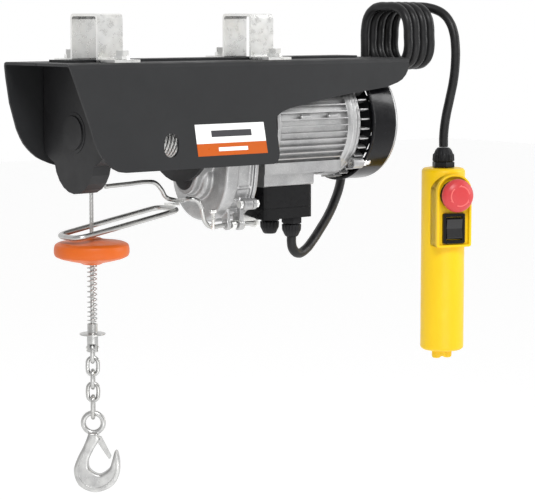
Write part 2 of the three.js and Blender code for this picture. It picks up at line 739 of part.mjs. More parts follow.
// Heights of the chain links' centres, each hanging in the one above.
const linkLengths = Array.from({ length: linkCount }, (_, i) => (i < linkCount - 1 ? chainLength : lastLinkLength));
const linkCentres = [];
let hangZ = pinZ + pinRadius + gap;
for (const length of linkLengths) {
  linkCentres.push(hangZ - length / 2);
  hangZ += gap - length;
}

const hookEyeRadius = 13.25;
const hookHoleRadius = 8;
const hookEyeZ = hangZ - hookHoleRadius;
const latchHalf = 3;
const latchPivot = [6, hookEyeZ - 17.5];

// The hook's outline is given as drops below the middle of its eye.
const below = ([a, drop]) => new THREE.Vector2(a, hookEyeZ - drop);

function hook() {
  const half = hookThick / 2;
  const shape = new THREE.Shape();
  shape.moveTo(-8, hookEyeZ - 9);
  shape.splineThru([[-10.5, 27], [-18.5, 41], [-21.7, 54], [-16.5, 69], [-4, 76.5], [8, 76.6], [21, 70],
    [28.2, 58], [29, 44], [26.5, 31]].map(below));
  shape.lineTo(23, hookEyeZ - 31);
  shape.splineThru([[20.4, 42], [17, 51], [6.5, 57.2], [-3.5, 51.5], [-5, 42], [0, 30], [7.5, 17]].map(below));
  shape.lineTo(8, hookEyeZ - 9);
  const body = prismY(shape, -half, half, 2);
  const eyeWire = (hookEyeRadius - hookHoleRadius) / 2;
  const eye = new THREE.TorusGeometry(hookHoleRadius + eyeWire, eyeWire, 8, 18);
  eye.rotateX(Math.PI / 2).translate(0, 0, hookEyeZ);
  const hole = turnedY(rod(-half - 1, half + 1, hookHoleRadius), 0, hookEyeZ, 18);
  const latchRoom = block(v3(0, -latchHalf - gap, hookEyeZ - 32), v3(16, latchHalf + gap, hookEyeZ - 13.5));
  const pin = turnedY(rod(-half, half, 1.2), latchPivot[0], latchPivot[1], 10);
  return join(cut(join(body, eye), hole, latchRoom), pin).rotateZ(hookTurn);
}

// The sprung latch closes the hook's mouth; it swings inwards about its pin.
function hookLatch() {
  const [a, z] = latchPivot;
  const shape = outline([[a - 2.6, z - 2, 1.5], [a + 10.6, z - 22, 1], [a + 12.6, z - 22.5, 1], [a + 13.6, z - 20, 1],
    [a + 2.6, z + 2.2, 2], [a - 2.4, z + 2.4, 2]]);
  shape.holes.push(new THREE.Path().absarc(a, z, 1.2 + gap, 0, 2 * Math.PI, true));
  return prismY(shape, -latchHalf, latchHalf, 5).rotateZ(hookTurn);
}

// ---------------------------------------------------------------- control cable
const glandFace = boxBottom - 2 * gap - glandLength;
const coilMiddleZ = seatRise + beamSide / 2 - 0.5;
const coilLow = coilMiddleZ - coilHalf;

function cableLead() {
  return wire(pointsOf([
    [glandX, controlGlandY, glandFace], [glandX, controlGlandY, -209], [151, -21, -217], [160, -19, -223],
    [174, -15, -220.5], [191, -9, -211], [210, 0, -199.5], [232, 12, -186.5], [252, 24, -172],
    [271, 37, -156], [287, 50, -136], [299, 58, -110], [306, 58, -84], [309, 51, -60],
    [309.5, 42.5, -38], [309.5, 37, -24], [309.5, 35, -15], [309.5, 34.75, coilLow + 4],
  ]), cableRadius, 24, 8);
}

// Five turns of the cable, wound side by side around the beam.
function cableCoil() {
  const inner = coilHalf - 2 * cableRadius;
  const shape = rectangle(-coilHalf, coilLow, coilHalf, coilMiddleZ + coilHalf, 30);
  const room = rectangle(-inner, coilMiddleZ - inner, inner, coilMiddleZ + inner, 18);
  return cut(prismX(shape, coilStart, coilEnd, 6), prismX(room, coilStart - 1, coilEnd + 1, 6));
}

function cableDrop() {
  return wire(pointsOf([
    [coilEnd + gap, 0, 59], [368, 0, 59], [372, -1, 59], [377.5, -6, 58.5], [381.5, -16, 55.5],
    [383.5, -28, 48.5], [384, -38, 36], [384, -43, 18], [384, -44.5, -4], [382.5, -43, -28], [380, -39, -52],
    [377.8, -35, -74], [pendantX, pendantY, -96], [pendantX, pendantY, pendantTop + 25],
  ]), cableRadius, 16, 8);
}

// ---------------------------------------------------------------- pendant control
const pendant = new THREE.Group();
pendant.position.set(pendantX, pendantY, 0);
pendant.rotation.z = pendantTurn;
hoist.add(pendant);

const estopBore = 11;
const stemRadius = 5;
const capRadius = 20;
const rockerHalfWidth = 10;
const rockerHalfLength = 12.3;
const bezelHalfWidth = 14;
const bezelHalfLength = 18;

const estopHole = (radius, low, high) => turnedY(rod(low, high, radius), 0, estopZ, 16);
const switchHole = (play, low, high) => block(
  v3(-bezelHalfWidth + 2 - play, low, rockerZ - bezelHalfLength + 2 - play),
  v3(bezelHalfWidth - 2 + play, high, rockerZ + bezelHalfLength - 2 + play),
);

function pendantBody() {
  const inner = pendantRadius - pendantWall;
  const tube = turnedZ([
    [pendantBottom, 0], [pendantBottom, pendantRadius - 3], [pendantBottom + 3, pendantRadius],
    [pendantTop - 6, pendantRadius], [pendantTop - 2, pendantRadius - 3], [pendantTop, 17], [pendantTop, 8 + gap],
    [pendantTop - 5, 8 + gap], [pendantTop - 8, inner], [pendantBottom + 4, inner], [pendantBottom + 4, 0],
  ], 0, 0, 20);
  const ears = [-7, 7].map((x) => turnedZ(rod(pendantBottom - 11, pendantBottom + 1, 5.5), x, 0, 14));
  const bridge = block(v3(-7, -3.5, pendantBottom - 9), v3(7, 3.5, pendantBottom + 1));
  return cut(join(tube, ...ears, bridge), estopHole(estopBore + gap, hoodFront, 0), switchHole(gap, hoodFront, 0));
}

function pendantHood() {
  const half = hoodWidth / 2;
  const room = half - hoodRim;
  const shape = outline([[-half, hoodBottom, 3], [half, hoodBottom, 3], [half, hoodTop, 21], [-half, hoodTop, 21]]);
  const recess = outline([[-room, hoodBottom + hoodRim, 1], [room, hoodBottom + hoodRim, 1],
    [room, hoodTop - hoodRim, 18], [-room, hoodTop - hoodRim, 18]]);
  const shell = cut(prismY(shape, hoodFront - hoodRise, -6, 6), prismY(recess, hoodFront - hoodRise - 1, hoodFront, 6));
  const back = turnedZ(rod(pendantBottom, pendantTop + 5, pendantRadius + gap), 0, 0, 24);
  return cut(shell, back, estopHole(estopBore + gap, hoodFront - 1, 0), switchHole(gap, hoodFront - 1, 0));
}

function pendantGland() {
  const low = pendantTop + gap;
  return join(
    turnedZ([[low, 0], [low, 13.5], [low + 6, 13.5], [low + 7, 12.5], [low + 14, 13], [low + 15, 11.5],
      [low + 21, 10], [low + 23.8, 8.5], [low + 23.8, 0]], 0, 0, 16),
    turnedZ(rod(pendantTop - 10, low + 1, 8), 0, 0, 12),
  );
}

function estopBase() {
  const face = hoodFront - gap;
  return turnedY([[face - 4, stemRadius + gap], [face - 4, 16], [face - 3, 17.5], [face, 17.5], [face, estopBore],
    [-12, estopBore], [-12, stemRadius + gap], [face - 4, stemRadius + gap]], 0, estopZ, 16);
}

const estopTravel = 4;
const capBack = hoodFront - 5.5 - estopTravel;

function estopCap() {
  return turnedY([[capBack - 13, 0], [capBack - 12.4, 7], [capBack - 10.6, 13], [capBack - 7.5, 17.5],
    [capBack - 3.5, capRadius], [capBack, capRadius - 1], [capBack, stemRadius + gap],
    [capBack - 7, stemRadius + gap], [capBack - 7, 0]], 0, estopZ, 18);
}

function rockerBezel() {
  const face = hoodFront - gap;
  const rim = prismY(rectangle(-bezelHalfWidth, rockerZ - bezelHalfLength, bezelHalfWidth,
    rockerZ + bezelHalfLength, 2), face - 4, face, 3);
  const window = block(
    v3(-rockerHalfWidth - 0.5, face - 5, rockerZ - rockerHalfLength - 1.8),
    v3(rockerHalfWidth + 0.5, face + 13, rockerZ + rockerHalfLength + 1.8),
  );
  const body = cut(switchHole(0, face - 1, face + 15), window);
  const pin = new THREE.CylinderGeometry(1.5, 1.5, 2 * rockerHalfWidth + 3, 12).rotateZ(Math.PI / 2);
  return join(cut(rim, window), body, pin.translate(0, rockerPivotY, rockerZ));
}

const rockerPivotY = hoodFront + 2;

// The rocker's face has a low middle, so that one end stands out when the other is pressed.
function rocker() {
  const face = hoodFront - 6;
  const half = rockerHalfLength;
  const shape = outline([[face + 1.5, rockerZ], [face, rockerZ - half + 0.5, 1], [face + 9, rockerZ - half + 1, 1],
    [face + 14, rockerZ, 4], [face + 9, rockerZ + half - 1, 1], [face, rockerZ + half - 0.5, 1]]);
  shape.holes.push(new THREE.Path().absarc(rockerPivotY, rockerZ, 1.5 + gap, 0, 2 * Math.PI, true));
  return prismX(shape, -rockerHalfWidth, rockerHalfWidth, 4);
}

// ---------------------------------------------------------------- assembly
place('frame', frame(), anthracitePaint);
place('strap_left', strap(-strapX), brightZinc);
place('strap_right', strap(strapX), brightZinc);
let boltNumber = 0;
for (const x of [-strapX, strapX]) {
  for (const y of [-boltY, boltY]) {
    boltNumber += 1;
    place(`strap_bolt_${boltNumber}`, strapBolt(x, y), brightZinc);
  }
}

place('end_support', endSupport(), blackPaint);
place('drum_bearing', ballBearing(supportFace + 2.5), steel);
place('drum', drum(), blackPaint);
place('drum_shaft', turnedX(rod(supportFace + 2.5, idlerGearX - 3, shaftRadius), 0, axisZ, 16), steel);
place('wound_rope', turnedX(ring(drumStart + gap, drumEnd - gap, drumRadius + gap, woundRadius), 0, axisZ, 32), steel);
place('drum_gear', wheel(axisZ, -up, drumGearX, shaftRadius + gap), steel);
place('idler_gear', wheel(idlerZ, up, idlerGearX, 6 + gap), steel);
place('idler_shaft', idlerShaft(), steel);

place('gear_plate', gearPlate(), blackPaint);
place('gearbox_case', gearboxCase(), castAluminium);
place('gearbox_cover', gearboxCover(), castAluminium);
place('gearbox_bolt', gearboxBolt(...lugPlaces[0]), brightZinc);

place('motor_housing', motorHousing(), castAluminium);
place('stator', stator(), copper);
place('rotor_core', turnedX(ring(118, 190, shaftRadius + gap, rotorRadius), 0, axisZ, 16), steel);
place('motor_shaft', motorShaft(), steel);
place('motor_bearing', ballBearing(motorEnd + 1), steel);
place('rear_shield', rearShield(), castAluminium);
place('motor_bolt', turnedX(rod(motorEnd + gap, motorEnd + 17, 2.5), -50, -120, 8), brightZinc);
place('cooling_fan', coolingFan(), mattBlack);
place('fan_cover', fanCover(), glossBlack);

place('terminal_block', terminalBlock(), castAluminium);
place('terminal_box', terminalBox(), mattBlack);
place('terminal_lid', terminalLid(), mattBlack);
place('capacitor', turnedX(rod(boxStart + 8, boxEnd - 26, 12), -22, -158, 20), greyPlastic);
place('control_gland', cableGland(controlGlandY), mattBlack);
place('mains_gland', cableGland(mainsGlandY), mattBlack);

place('limit_switch', limitSwitch(), mattBlack);
place('lever_rod', leverRod(), brightZinc);
place('stop_loop', stopLoop(), brightZinc);
place('lever_arm', leverArm(), brightZinc);

place('rope_fall', turnedZ(rod(sleeveTop - 7.5, ropeTop, ropeRadius), 0, 0, 12), steel, load);
place('stopper', stopper(), orangePlastic, load);
place('buffer_spring', turnedZ(ring(sleeveTop + gap, stopperBottom - gap, 3.6, 5.6), 0, 0, 16), steel, load);
place('rope_sleeve', ropeSleeve(), brightZinc, load);
linkCentres.forEach((z, i) => {
  place(`chain_link_${i + 1}`, chainLink(z, linkLengths[i], i % 2 === 0), brightZinc, load);
});
place('hook', hook(), brightZinc, load);
place('hook_latch', hookLatch(), brightZinc, load);

place('cable_lead', cableLead(), mattBlack);
place('cable_coil', cableCoil(), mattBlack);
place('cable_drop', cableDrop(), mattBlack);

place('pendant_body', pendantBody(), yellowPlastic, pendant);
place('pendant_hood', pendantHood(), yellowPlastic, pendant);
place('pendant_gland', pendantGland(), mattBlack, pendant);
place('estop_base', estopBase(), mattBlack, pendant);
place('estop_stem', turnedY(rod(capBack - 6.5, -14, stemRadius), 0, estopZ, 16), mattBlack, pendant);
place('estop_cap', estopCap(), redPlastic, pendant);
place('rocker_bezel', rockerBezel(), mattBlack, pendant);
place('rocker', rocker(), mattBlack, pendant);

export default hoist;
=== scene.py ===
import math

import bpy
from mathutils import Matrix, Vector


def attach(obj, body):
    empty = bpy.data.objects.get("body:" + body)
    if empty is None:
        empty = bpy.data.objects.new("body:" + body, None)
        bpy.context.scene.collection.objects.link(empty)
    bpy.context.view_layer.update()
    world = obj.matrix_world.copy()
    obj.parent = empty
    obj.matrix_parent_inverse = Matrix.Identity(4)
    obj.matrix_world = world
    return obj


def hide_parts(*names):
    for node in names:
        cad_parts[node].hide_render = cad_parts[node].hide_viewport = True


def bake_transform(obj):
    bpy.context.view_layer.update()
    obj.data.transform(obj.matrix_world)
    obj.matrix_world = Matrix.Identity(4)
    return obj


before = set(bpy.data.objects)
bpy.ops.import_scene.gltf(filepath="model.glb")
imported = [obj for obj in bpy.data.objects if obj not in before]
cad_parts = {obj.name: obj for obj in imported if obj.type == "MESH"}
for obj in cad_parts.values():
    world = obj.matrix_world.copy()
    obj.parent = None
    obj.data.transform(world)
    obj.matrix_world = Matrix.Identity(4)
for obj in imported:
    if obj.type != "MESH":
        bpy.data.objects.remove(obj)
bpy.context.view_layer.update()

MM = 0.001
SEAT_RISE = 2.7
AXIS_Z = -74.5
IDLER_Z = -127.0
ROPE_X = -89.5
ROPE_RADIUS = 2.25
WOUND_RADIUS = 33.8
ROPE_Y = WOUND_RADIUS - ROPE_RADIUS
HOOK_TURN = math.radians(-38.5)
CABLE_RADIUS = 5.5
PENDANT_X = 376.5
PENDANT_Y = -33.0
PENDANT_TURN = math.radians(-19.5)
ESTOP_Z = -164.7
ROCKER_Z = -204.9
HOOD_FRONT = -29.0
ESTOP_STAND = 9.5


def point(x, y, z):
    return Vector((x * MM, y * MM, (z - SEAT_RISE) * MM))


# ---------------- camera
CAMERA_PLACE = (-1.2458, -1.7187, 0.0475)
CAMERA_DOWN = 5.70
CAMERA_TURN = -38.607
CAMERA_LENS = 130.0
CAMERA_SENSOR = 36.0
CAMERA_SHIFT = (0.005, -0.08)

camera_data = bpy.data.cameras.new("camera")
camera_data.lens = CAMERA_LENS
camera_data.sensor_width = CAMERA_SENSOR
camera_data.shift_x, camera_data.shift_y = CAMERA_SHIFT
camera_data.clip_start = 0.05
camera = bpy.data.objects.new("camera", camera_data)
camera.location = CAMERA_PLACE
camera.rotation_euler = (math.radians(90 - CAMERA_DOWN), 0, math.radians(CAMERA_TURN))
bpy.context.scene.collection.objects.link(camera)
bpy.context.scene.camera = camera


# ---------------- materials
class Shader:
    """A Principled material and short calls for the nodes that vary it."""

    def __init__(self, name, color, roughness, metallic=0.0):
        self.material = bpy.data.materials.new(name)
        self.material.use_nodes = True
        self.tree = self.material.node_tree
        self.shader = self.tree.nodes["Principled BSDF"]
        self.color = (*color, 1)
        self.roughness = roughness
        self.shader.inputs["Base Color"].default_value = self.color
        self.shader.inputs["Roughness"].default_value = roughness
        self.shader.inputs["Metallic"].default_value = metallic
        self.coordinates = self.tree.nodes.new("ShaderNodeTexCoord").outputs["Object"]
        self.normal = None

    def node(self, kind, **values):
        made = self.tree.nodes.new(kind)
        for key, value in values.items():
            made.inputs[key].default_value = value
        return made

    def link(self, source, target):
        self.tree.links.new(source, target)

    def noise(self, scale, detail=4.0, stretch=(1, 1, 1), roughness=0.55):
        mapping = self.node("ShaderNodeMapping", Scale=stretch)
        self.link(self.coordinates, mapping.inputs["Vector"])
        texture = self.node("ShaderNodeTexNoise", Scale=scale, Detail=detail, Roughness=roughness)
        self.link(mapping.outputs["Vector"], texture.inputs["Vector"])
        return texture.outputs["Fac"]

    def cells(self, scale):
        texture = self.node("ShaderNodeTexVoronoi", Scale=scale)
        self.link(self.coordinates, texture.inputs["Vector"])
        return texture.outputs["Distance"]

    def between(self, factor, low, high, start=0.3, end=0.7):
        limits = {"From Min": start, "From Max": end, "To Min": low, "To Max": high}
        spread = self.node("ShaderNodeMapRange", **limits)
        self.link(factor, spread.inputs["Value"])
        return spread.outputs["Result"]

    def vary_roughness(self, factor, low, high, start=0.3, end=0.7):
        self.link(self.between(factor, low, high, start, end), self.shader.inputs["Roughness"])

    def vary_color(self, factor, other, start=0.35, end=0.65, most=1.0):
        """Mixes the colour so far with another one where the factor is high."""
        mix = self.tree.nodes.new("ShaderNodeMix")
        mix.data_type = "RGBA"
        socket = self.shader.inputs["Base Color"]
        if socket.is_linked:
            self.link(socket.links[0].from_socket, mix.inputs["A"])
        else:
            mix.inputs["A"].default_value = self.color
        mix.inputs["B"].default_value = (*other, 1)
        self.link(self.between(factor, 0.0, most, start, end), mix.inputs["Factor"])
        self.link(mix.outputs["Result"], socket)

    def bump(self, height, strength, distance):
        """Adds one more layer of bump; the distance is in millimetres."""
        made = self.node("ShaderNodeBump", Strength=strength, Distance=distance * MM)
        self.link(height, made.inputs["Height"])
        if self.normal is not None:
            self.link(self.normal, made.inputs["Normal"])
        self.normal = made.outputs["Normal"]
        self.link(self.normal, self.shader.inputs["Normal"])

    def set(self, **values):
        for key, value in values.items():
            self.shader.inputs[key.replace("_", " ")].default_value = value


def powder_coat(name, color, roughness):
    s = Shader(name, color, roughness)
    lighter = tuple(c * 1.35 + 0.002 for c in color)
    s.vary_color(s.noise(14, 5), lighter, 0.42, 0.75, 0.5)
    s.vary_color(s.noise(900, 2), lighter, 0.62, 0.8, 0.4)
    s.vary_roughness(s.noise(40, 6), roughness - 0.06, roughness + 0.1)
    s.bump(s.noise(650, 3), 0.35, 0.06)
    s.bump(s.noise(90, 2), 0.12, 0.1)
    s.set(Specular_IOR_Level=0.32)
    return s.material


def zinc_plate(name, grain, color, dark):
    s = Shader(name, color, 0.3, 1.0)
    s.vary_color(s.noise(55, 4), dark, 0.4, 0.75, 0.5)
    s.vary_color(s.noise(23, 3), tuple(c * w for c, w in zip(color, (0.95, 0.92, 0.86))), 0.5, 0.8, 0.5)
    s.vary_roughness(s.noise(120, 6, grain), 0.2, 0.42)
    s.bump(s.noise(350, 4, grain), 0.18, 0.05)
    s.bump(s.noise(1500, 2), 0.1, 0.02)
    return s.material


def cast_aluminium():
    s = Shader("cast_aluminium", (0.46, 0.46, 0.46), 0.40, 0.95)
    s.vary_color(s.noise(35, 6), (0.32, 0.32, 0.325), 0.42, 0.72, 0.8)
    s.vary_color(s.noise(800, 3), (0.72, 0.72, 0.71), 0.55, 0.75, 0.6)
    s.vary_roughness(s.noise(160, 6), 0.33, 0.55)
    s.bump(s.noise(420, 5), 0.4, 0.12)
    s.bump(s.cells(900), 0.15, 0.05)
    return s.material


def cast_zinc_hook():
    s = Shader("forged_zinc", (0.56, 0.56, 0.55), 0.34, 1.0)
    s.vary_color(s.noise(80, 6), (0.38, 0.38, 0.38), 0.42, 0.72, 0.9)
    s.vary_roughness(s.noise(240, 6), 0.24, 0.5)
    s.bump(s.noise(240, 6), 0.55, 0.25)
    s.bump(s.cells(700), 0.2, 0.06)
    return s.material


def gloss_enamel():
    s = Shader("gloss_black", (0.005, 0.005, 0.006), 0.16)
    s.vary_roughness(s.noise(60, 5), 0.1, 0.24)
    s.vary_color(s.noise(400, 2), (0.02, 0.02, 0.022), 0.6, 0.8, 0.6)
    s.bump(s.noise(130, 2), 0.12, 0.05)
    s.set(Coat_Weight=0.05, Coat_Roughness=0.06, Specular_IOR_Level=0.14)
    return s.material


def black_plastic(name, color, roughness):
    s = Shader(name, color, roughness)
    s.vary_color(s.noise(30, 4), tuple(c * 1.5 for c in color), 0.45, 0.75, 0.6)
    s.vary_roughness(s.noise(200, 5), roughness - 0.08, roughness + 0.1)
    s.bump(s.cells(1500), 0.25, 0.05)
    s.set(Specular_IOR_Level=0.2)
    return s.material


def cable_sheath():
    s = Shader("cable_sheath", (0.008, 0.008, 0.0085), 0.4)
    s.vary_color(s.noise(60, 5), (0.018, 0.018, 0.019), 0.45, 0.75, 0.7)
    s.vary_roughness(s.noise(150, 6), 0.3, 0.5)
    s.bump(s.noise(260, 4), 0.3, 0.08)
    s.bump(s.noise(1200, 2), 0.15, 0.02)
    s.set(Specular_IOR_Level=0.3)
    return s.material


def moulded(name, color, shade, roughness, glow):
    """A coloured plastic with faint flow marks, fine grain and a little light inside it."""
    s = Shader(name, color, roughness)
    s.vary_color(s.noise(18, 5, (1, 1, 0.35)), shade, 0.4, 0.75, 0.45)
    s.vary_color(s.noise(600, 2), tuple(min(1.0, c * 1.12) for c in color), 0.6, 0.8, 0.4)
    s.vary_roughness(s.noise(90, 6), roughness - 0.07, roughness + 0.09)
    s.bump(s.noise(500, 3), 0.22, 0.05)
    s.bump(s.noise(45, 2), 0.08, 0.15)
    s.set(Subsurface_Weight=glow, Subsurface_Scale=0.002, Specular_IOR_Level=0.35)
    return s.material


def plain_metal(name, color, roughness, dark):
    s = Shader(name, color, roughness, 1.0)
    s.vary_color(s.noise(70, 5), dark, 0.42, 0.75, 0.8)
    s.vary_roughness(s.noise(300, 5), roughness - 0.08, roughness + 0.12)
    s.bump(s.noise(700, 4), 0.2, 0.03)
    return s.material


def printed(name, color):
    s = Shader(name, color, 0.32)
    s.vary_color(s.noise(25, 4), tuple(c * 0.93 for c in color), 0.45, 0.75, 0.6)
    s.vary_roughness(s.noise(140, 5), 0.25, 0.4)
    s.bump(s.noise(800, 2), 0.06, 0.02)
    s.set(Specular_IOR_Level=0.25)
    return s.material


ANTHRACITE = powder_coat("anthracite_paint", (0.014, 0.0145, 0.0155), 0.5)
BLACK_PAINT = powder_coat("black_paint", (0.012, 0.012, 0.013), 0.46)
ZINC = zinc_plate("bright_zinc", (1, 1, 1), (0.90, 0.90, 0.88), (0.72, 0.73, 0.73))
DRAWN_ZINC = zinc_plate("drawn_zinc", (0.2, 1, 1), (0.50, 0.50, 0.49), (0.34, 0.34, 0.34))
FORGED_ZINC = cast_zinc_hook()
ALUMINIUM = cast_aluminium()
STEEL = plain_metal("gear_steel", (0.46, 0.46, 0.47), 0.32, (0.3, 0.3, 0.31))
WIRE_ROPE = plain_metal("wire_rope", (0.55, 0.55, 0.54), 0.36, (0.36, 0.36, 0.35))
COPPER = plain_metal("copper_winding", (0.55, 0.23, 0.10), 0.4, (0.35, 0.13, 0.06))
GLOSS_BLACK = gloss_enamel()
BLACK_PLASTIC = black_plastic("black_plastic", (0.010, 0.010, 0.011), 0.42)
SATIN_BLACK = black_plastic("satin_black", (0.005, 0.005, 0.0055), 0.32)
ROCKER_BLACK = black_plastic("rocker_black", (0.012, 0.012, 0.013), 0.2)
ROCKER_BLACK.node_tree.nodes["Principled BSDF"].inputs["Specular IOR Level"].default_value = 0.6
CABLE = cable_sheath()
ORANGE = moulded("orange_plastic", (0.66, 0.125, 0.008), (0.52, 0.085, 0.005), 0.42, 0.05)
YELLOW = moulded("yellow_plastic", (0.84, 0.55, 0.004), (0.80, 0.48, 0.002), 0.36, 0.04)
RED = moulded("red_plastic", (0.60, 0.055, 0.060), (0.50, 0.03, 0.035), 0.36, 0.05)
PALE_RED = moulded("red_arrows", (0.80, 0.16, 0.15), (0.7, 0.12, 0.11), 0.35, 0.04)
GREY_PLASTIC = black_plastic("grey_plastic", (0.26, 0.26, 0.27), 0.45)
LABEL_WHITE = printed("label_white", (0.86, 0.86, 0.85))
LABEL_ORANGE = printed("label_orange", (0.50, 0.096, 0.010))
LABEL_GREY = printed("label_grey", (0.05, 0.05, 0.055))


# ---------------- shape helpers
def smooth(mesh, angle):
    for polygon in mesh.polygons:
        polygon.use_smooth = True
    mesh.set_sharp_from_angle(angle=math.radians(angle))


def add(name, vertices, faces, material, body, angle=35, turn=None, place=None):
    """A mesh piece that rides on a body; turn and place move it from its own frame."""
    mesh = bpy.data.meshes.new(name)
    mesh.from_pydata([tuple(v) for v in vertices], [], faces)
    return finish_piece(name, mesh, material, body, angle, turn, place)


def finish_piece(name, mesh, material, body, angle=35, turn=None, place=None):
    mesh.transform(Matrix.Translation(place or Vector()) @ (turn or Matrix.Identity(4)))
    mesh.validate()
    mesh.materials.clear()
    mesh.materials.append(material)
    smooth(mesh, angle)
    piece = bpy.data.objects.new(name, mesh)
    bpy.context.scene.collection.objects.link(piece)
    if body:
        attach(piece, body)
    return piece


def bevelled(piece, width, segments=2, limit=30):
    modifier = piece.modifiers.new("edges", "BEVEL")
    modifier.width = width * MM
    modifier.segments = segments
    modifier.limit_method = "ANGLE"
    modifier.angle_limit = math.radians(limit)
    return piece


def rounded(profile, radius, steps=4):
    """A profile with its inner corners replaced by short curves of about that radius."""
    result = [profile[0]]
    for before, corner, after in zip(profile, profile[1:], profile[2:]):
        b, c, a = Vector(before), Vector(corner), Vector(after)
        reach = min(radius, (b - c).length * 0.45, (a - c).length * 0.45)
        if reach < 1e-6:
            result.append(corner)
            continue
        start, end = c + (b - c).normalized() * reach, c + (a - c).normalized() * reach
        for i in range(steps + 1):
            t = i / steps
            p = start * (1 - t) ** 2 + c * 2 * t * (1 - t) + end * t ** 2
            result.append((p.x, p.y))
    result.append(profile[-1])
    return result


AXES = {"x": (Vector((1, 0, 0)), Vector((0, 1, 0)), Vector((0, 0, 1))),
        "y": (Vector((0, 1, 0)), Vector((0, 0, 1)), Vector((1, 0, 0))),
        "z": (Vector((0, 0, 1)), Vector((1, 0, 0)), Vector((0, 1, 0)))}


def lathe(name, profile, axis, centre, material, body, sides=64, corner=0.0, ripple=None, angle=35, turn=None,
          place=None):
    """Turns pairs (along, radius) about an axis. ripple(angle, along) scales the radius."""
    along_axis, a_axis, b_axis = AXES[axis]
    closed = profile[0] == profile[-1] and profile[0][1] > 0
    if corner:
        profile = rounded(profile, corner)
    rows = profile[:-1] if closed else profile
    vertices, starts = [], []
    for along, radius in rows:
        starts.append((len(vertices), radius > 0))
        for i in range(sides if radius > 0 else 1):
            turn_angle = 2 * math.pi * i / sides
            r = radius * (ripple(turn_angle, along) if ripple else 1.0)
            offset = a_axis * math.cos(turn_angle) * r + b_axis * math.sin(turn_angle) * r
            vertices.append((centre + along_axis * along + offset) * MM)
    faces = []
    pairs = list(zip(starts, starts[1:])) + ([(starts[-1], starts[0])] if closed else [])
    for (one, one_ring), (two, two_ring) in pairs:
        for i in range(sides):
            j = (i + 1) % sides
            if one_ring and two_ring:
                faces.append((one + i, one + j, two + j, two + i))
            elif two_ring:
                faces.append((one, two + j, two + i))
            elif one_ring:
                faces.append((one + i, one + j, two))
    return add(name, vertices, faces, material, body, angle, turn, place)


def axis_centre(y, z):
    return Vector((0, y, z - SEAT_RISE))


def ring(low, high, inside, outside):
    """The closed profile of a plain ring, for lathe."""
    return [(low, inside), (low, outside), (high, outside), (high, inside), (low, inside)]


def curve_mesh(name, data):
    """The mesh that a curve makes, with the curve itself removed."""
    holder = bpy.data.objects.new(name, data)
    bpy.context.scene.collection.objects.link(holder)
    depsgraph = bpy.context.evaluated_depsgraph_get()
    mesh = bpy.data.meshes.new_from_object(holder.evaluated_get(depsgraph))
    bpy.data.objects.remove(holder)
    bpy.data.curves.remove(data)
    return mesh


def spline_data(name, points, radius, closed, resolution, sides):
    data = bpy.data.curves.new(name, "CURVE")
    data.dimensions = "3D"
    data.bevel_depth = radius * MM
    data.bevel_resolution = sides
    data.resolution_u = resolution
    data.use_fill_caps = not closed
    spline = data.splines.new("BEZIER")
    spline.bezier_points.add(len(points) - 1)
    for knot, place in zip(spline.bezier_points, points):
        knot.co = place
        knot.handle_left_type = "AUTO"
        knot.handle_right_type = "AUTO"
    spline.use_cyclic_u = closed
    return data


def wire(name, points, radius, material, body, closed=False, resolution=8, sides=5, turn=None, place=None):
    """A round wire along points, which are in metres."""
    mesh = curve_mesh(name, spline_data(name, points, radius, closed, resolution, sides))
    return finish_piece(name, mesh, material, body, 60, turn, place)


def plate(name, loops, half, bevel, material, body, turn, place=None, angle=35):
    """A flat plate from closed outlines in millimetres, with rounded edges; later loops are holes."""
    data = bpy.data.curves.new(name, "CURVE")
    data.dimensions = "2D"
    data.fill_mode = "BOTH"
    data.extrude = (half - bevel) * MM
    data.bevel_depth = bevel * MM
    data.bevel_resolution = 2
    data.offset = -bevel * MM
    for loop in loops:
        spline = data.splines.new("POLY")
        spline.points.add(len(loop) - 1)
        for knot, (a, b) in zip(spline.points, loop):
            knot.co = (a * MM, b * MM, 0, 1)
        spline.use_cyclic_u = True
    return finish_piece(name, curve_mesh(name, data), material, body, angle, turn, place)


def polar(radius, degrees):
    angle = math.radians(degrees)
    return radius * math.cos(angle), radius * math.sin(angle)


def arc(a, b, radius, start, end, steps=16):
    """Points round (a, b), from one angle to another in degrees."""
    turned = [polar(radius, start + (end - start) * i / steps) for i in range(steps + 1)]
    return [(a + across, b + up) for across, up in turned]


def basis(x_axis, y_axis, z_axis):
    return Matrix((x_axis, y_axis, z_axis)).transposed().to_4x4()


# A plate's own plane is XY; these stand it across X, and across Y.
ACROSS_X = basis(Vector((0, 1, 0)), Vector((0, 0, 1)), Vector((1, 0, 0)))
ACROSS_Y = basis(Vector((1, 0, 0)), Vector((0, 0, 1)), Vector((0, -1, 0)))


def soften(piece, voxel, passes):
    """Joins overlapping shells into one skin and rounds its corners, as a casting has."""
    remesh = piece.modifiers.new("skin", "REMESH")
    remesh.mode = "VOXEL"
    remesh.voxel_size = voxel * MM
    relax = piece.modifiers.new("relax", "SMOOTH")
    relax.factor = 0.5
    relax.iterations = passes
    depsgraph = bpy.context.evaluated_depsgraph_get()
    mesh = bpy.data.meshes.new_from_object(piece.evaluated_get(depsgraph))
    piece.modifiers.clear()
    piece.data = mesh
    for polygon in mesh.polygons:
        polygon.use_smooth = True
    return piece


def merged(name, pieces):
    """One object from several."""
    with bpy.context.temp_override(active_object=pieces[0], selected_editable_objects=pieces,
                                   object=pieces[0], selected_objects=pieces):
        bpy.ops.object.join()
    pieces[0].name = name
    return pieces[0]


# ---------------- control cable
COIL_HALF = 34.75
COIL_CORNER = 24.5
COIL_MIDDLE = 24.7
COIL_FIRST = 309.5
COIL_LAST = 359.5
COIL_TURNS = 4.25

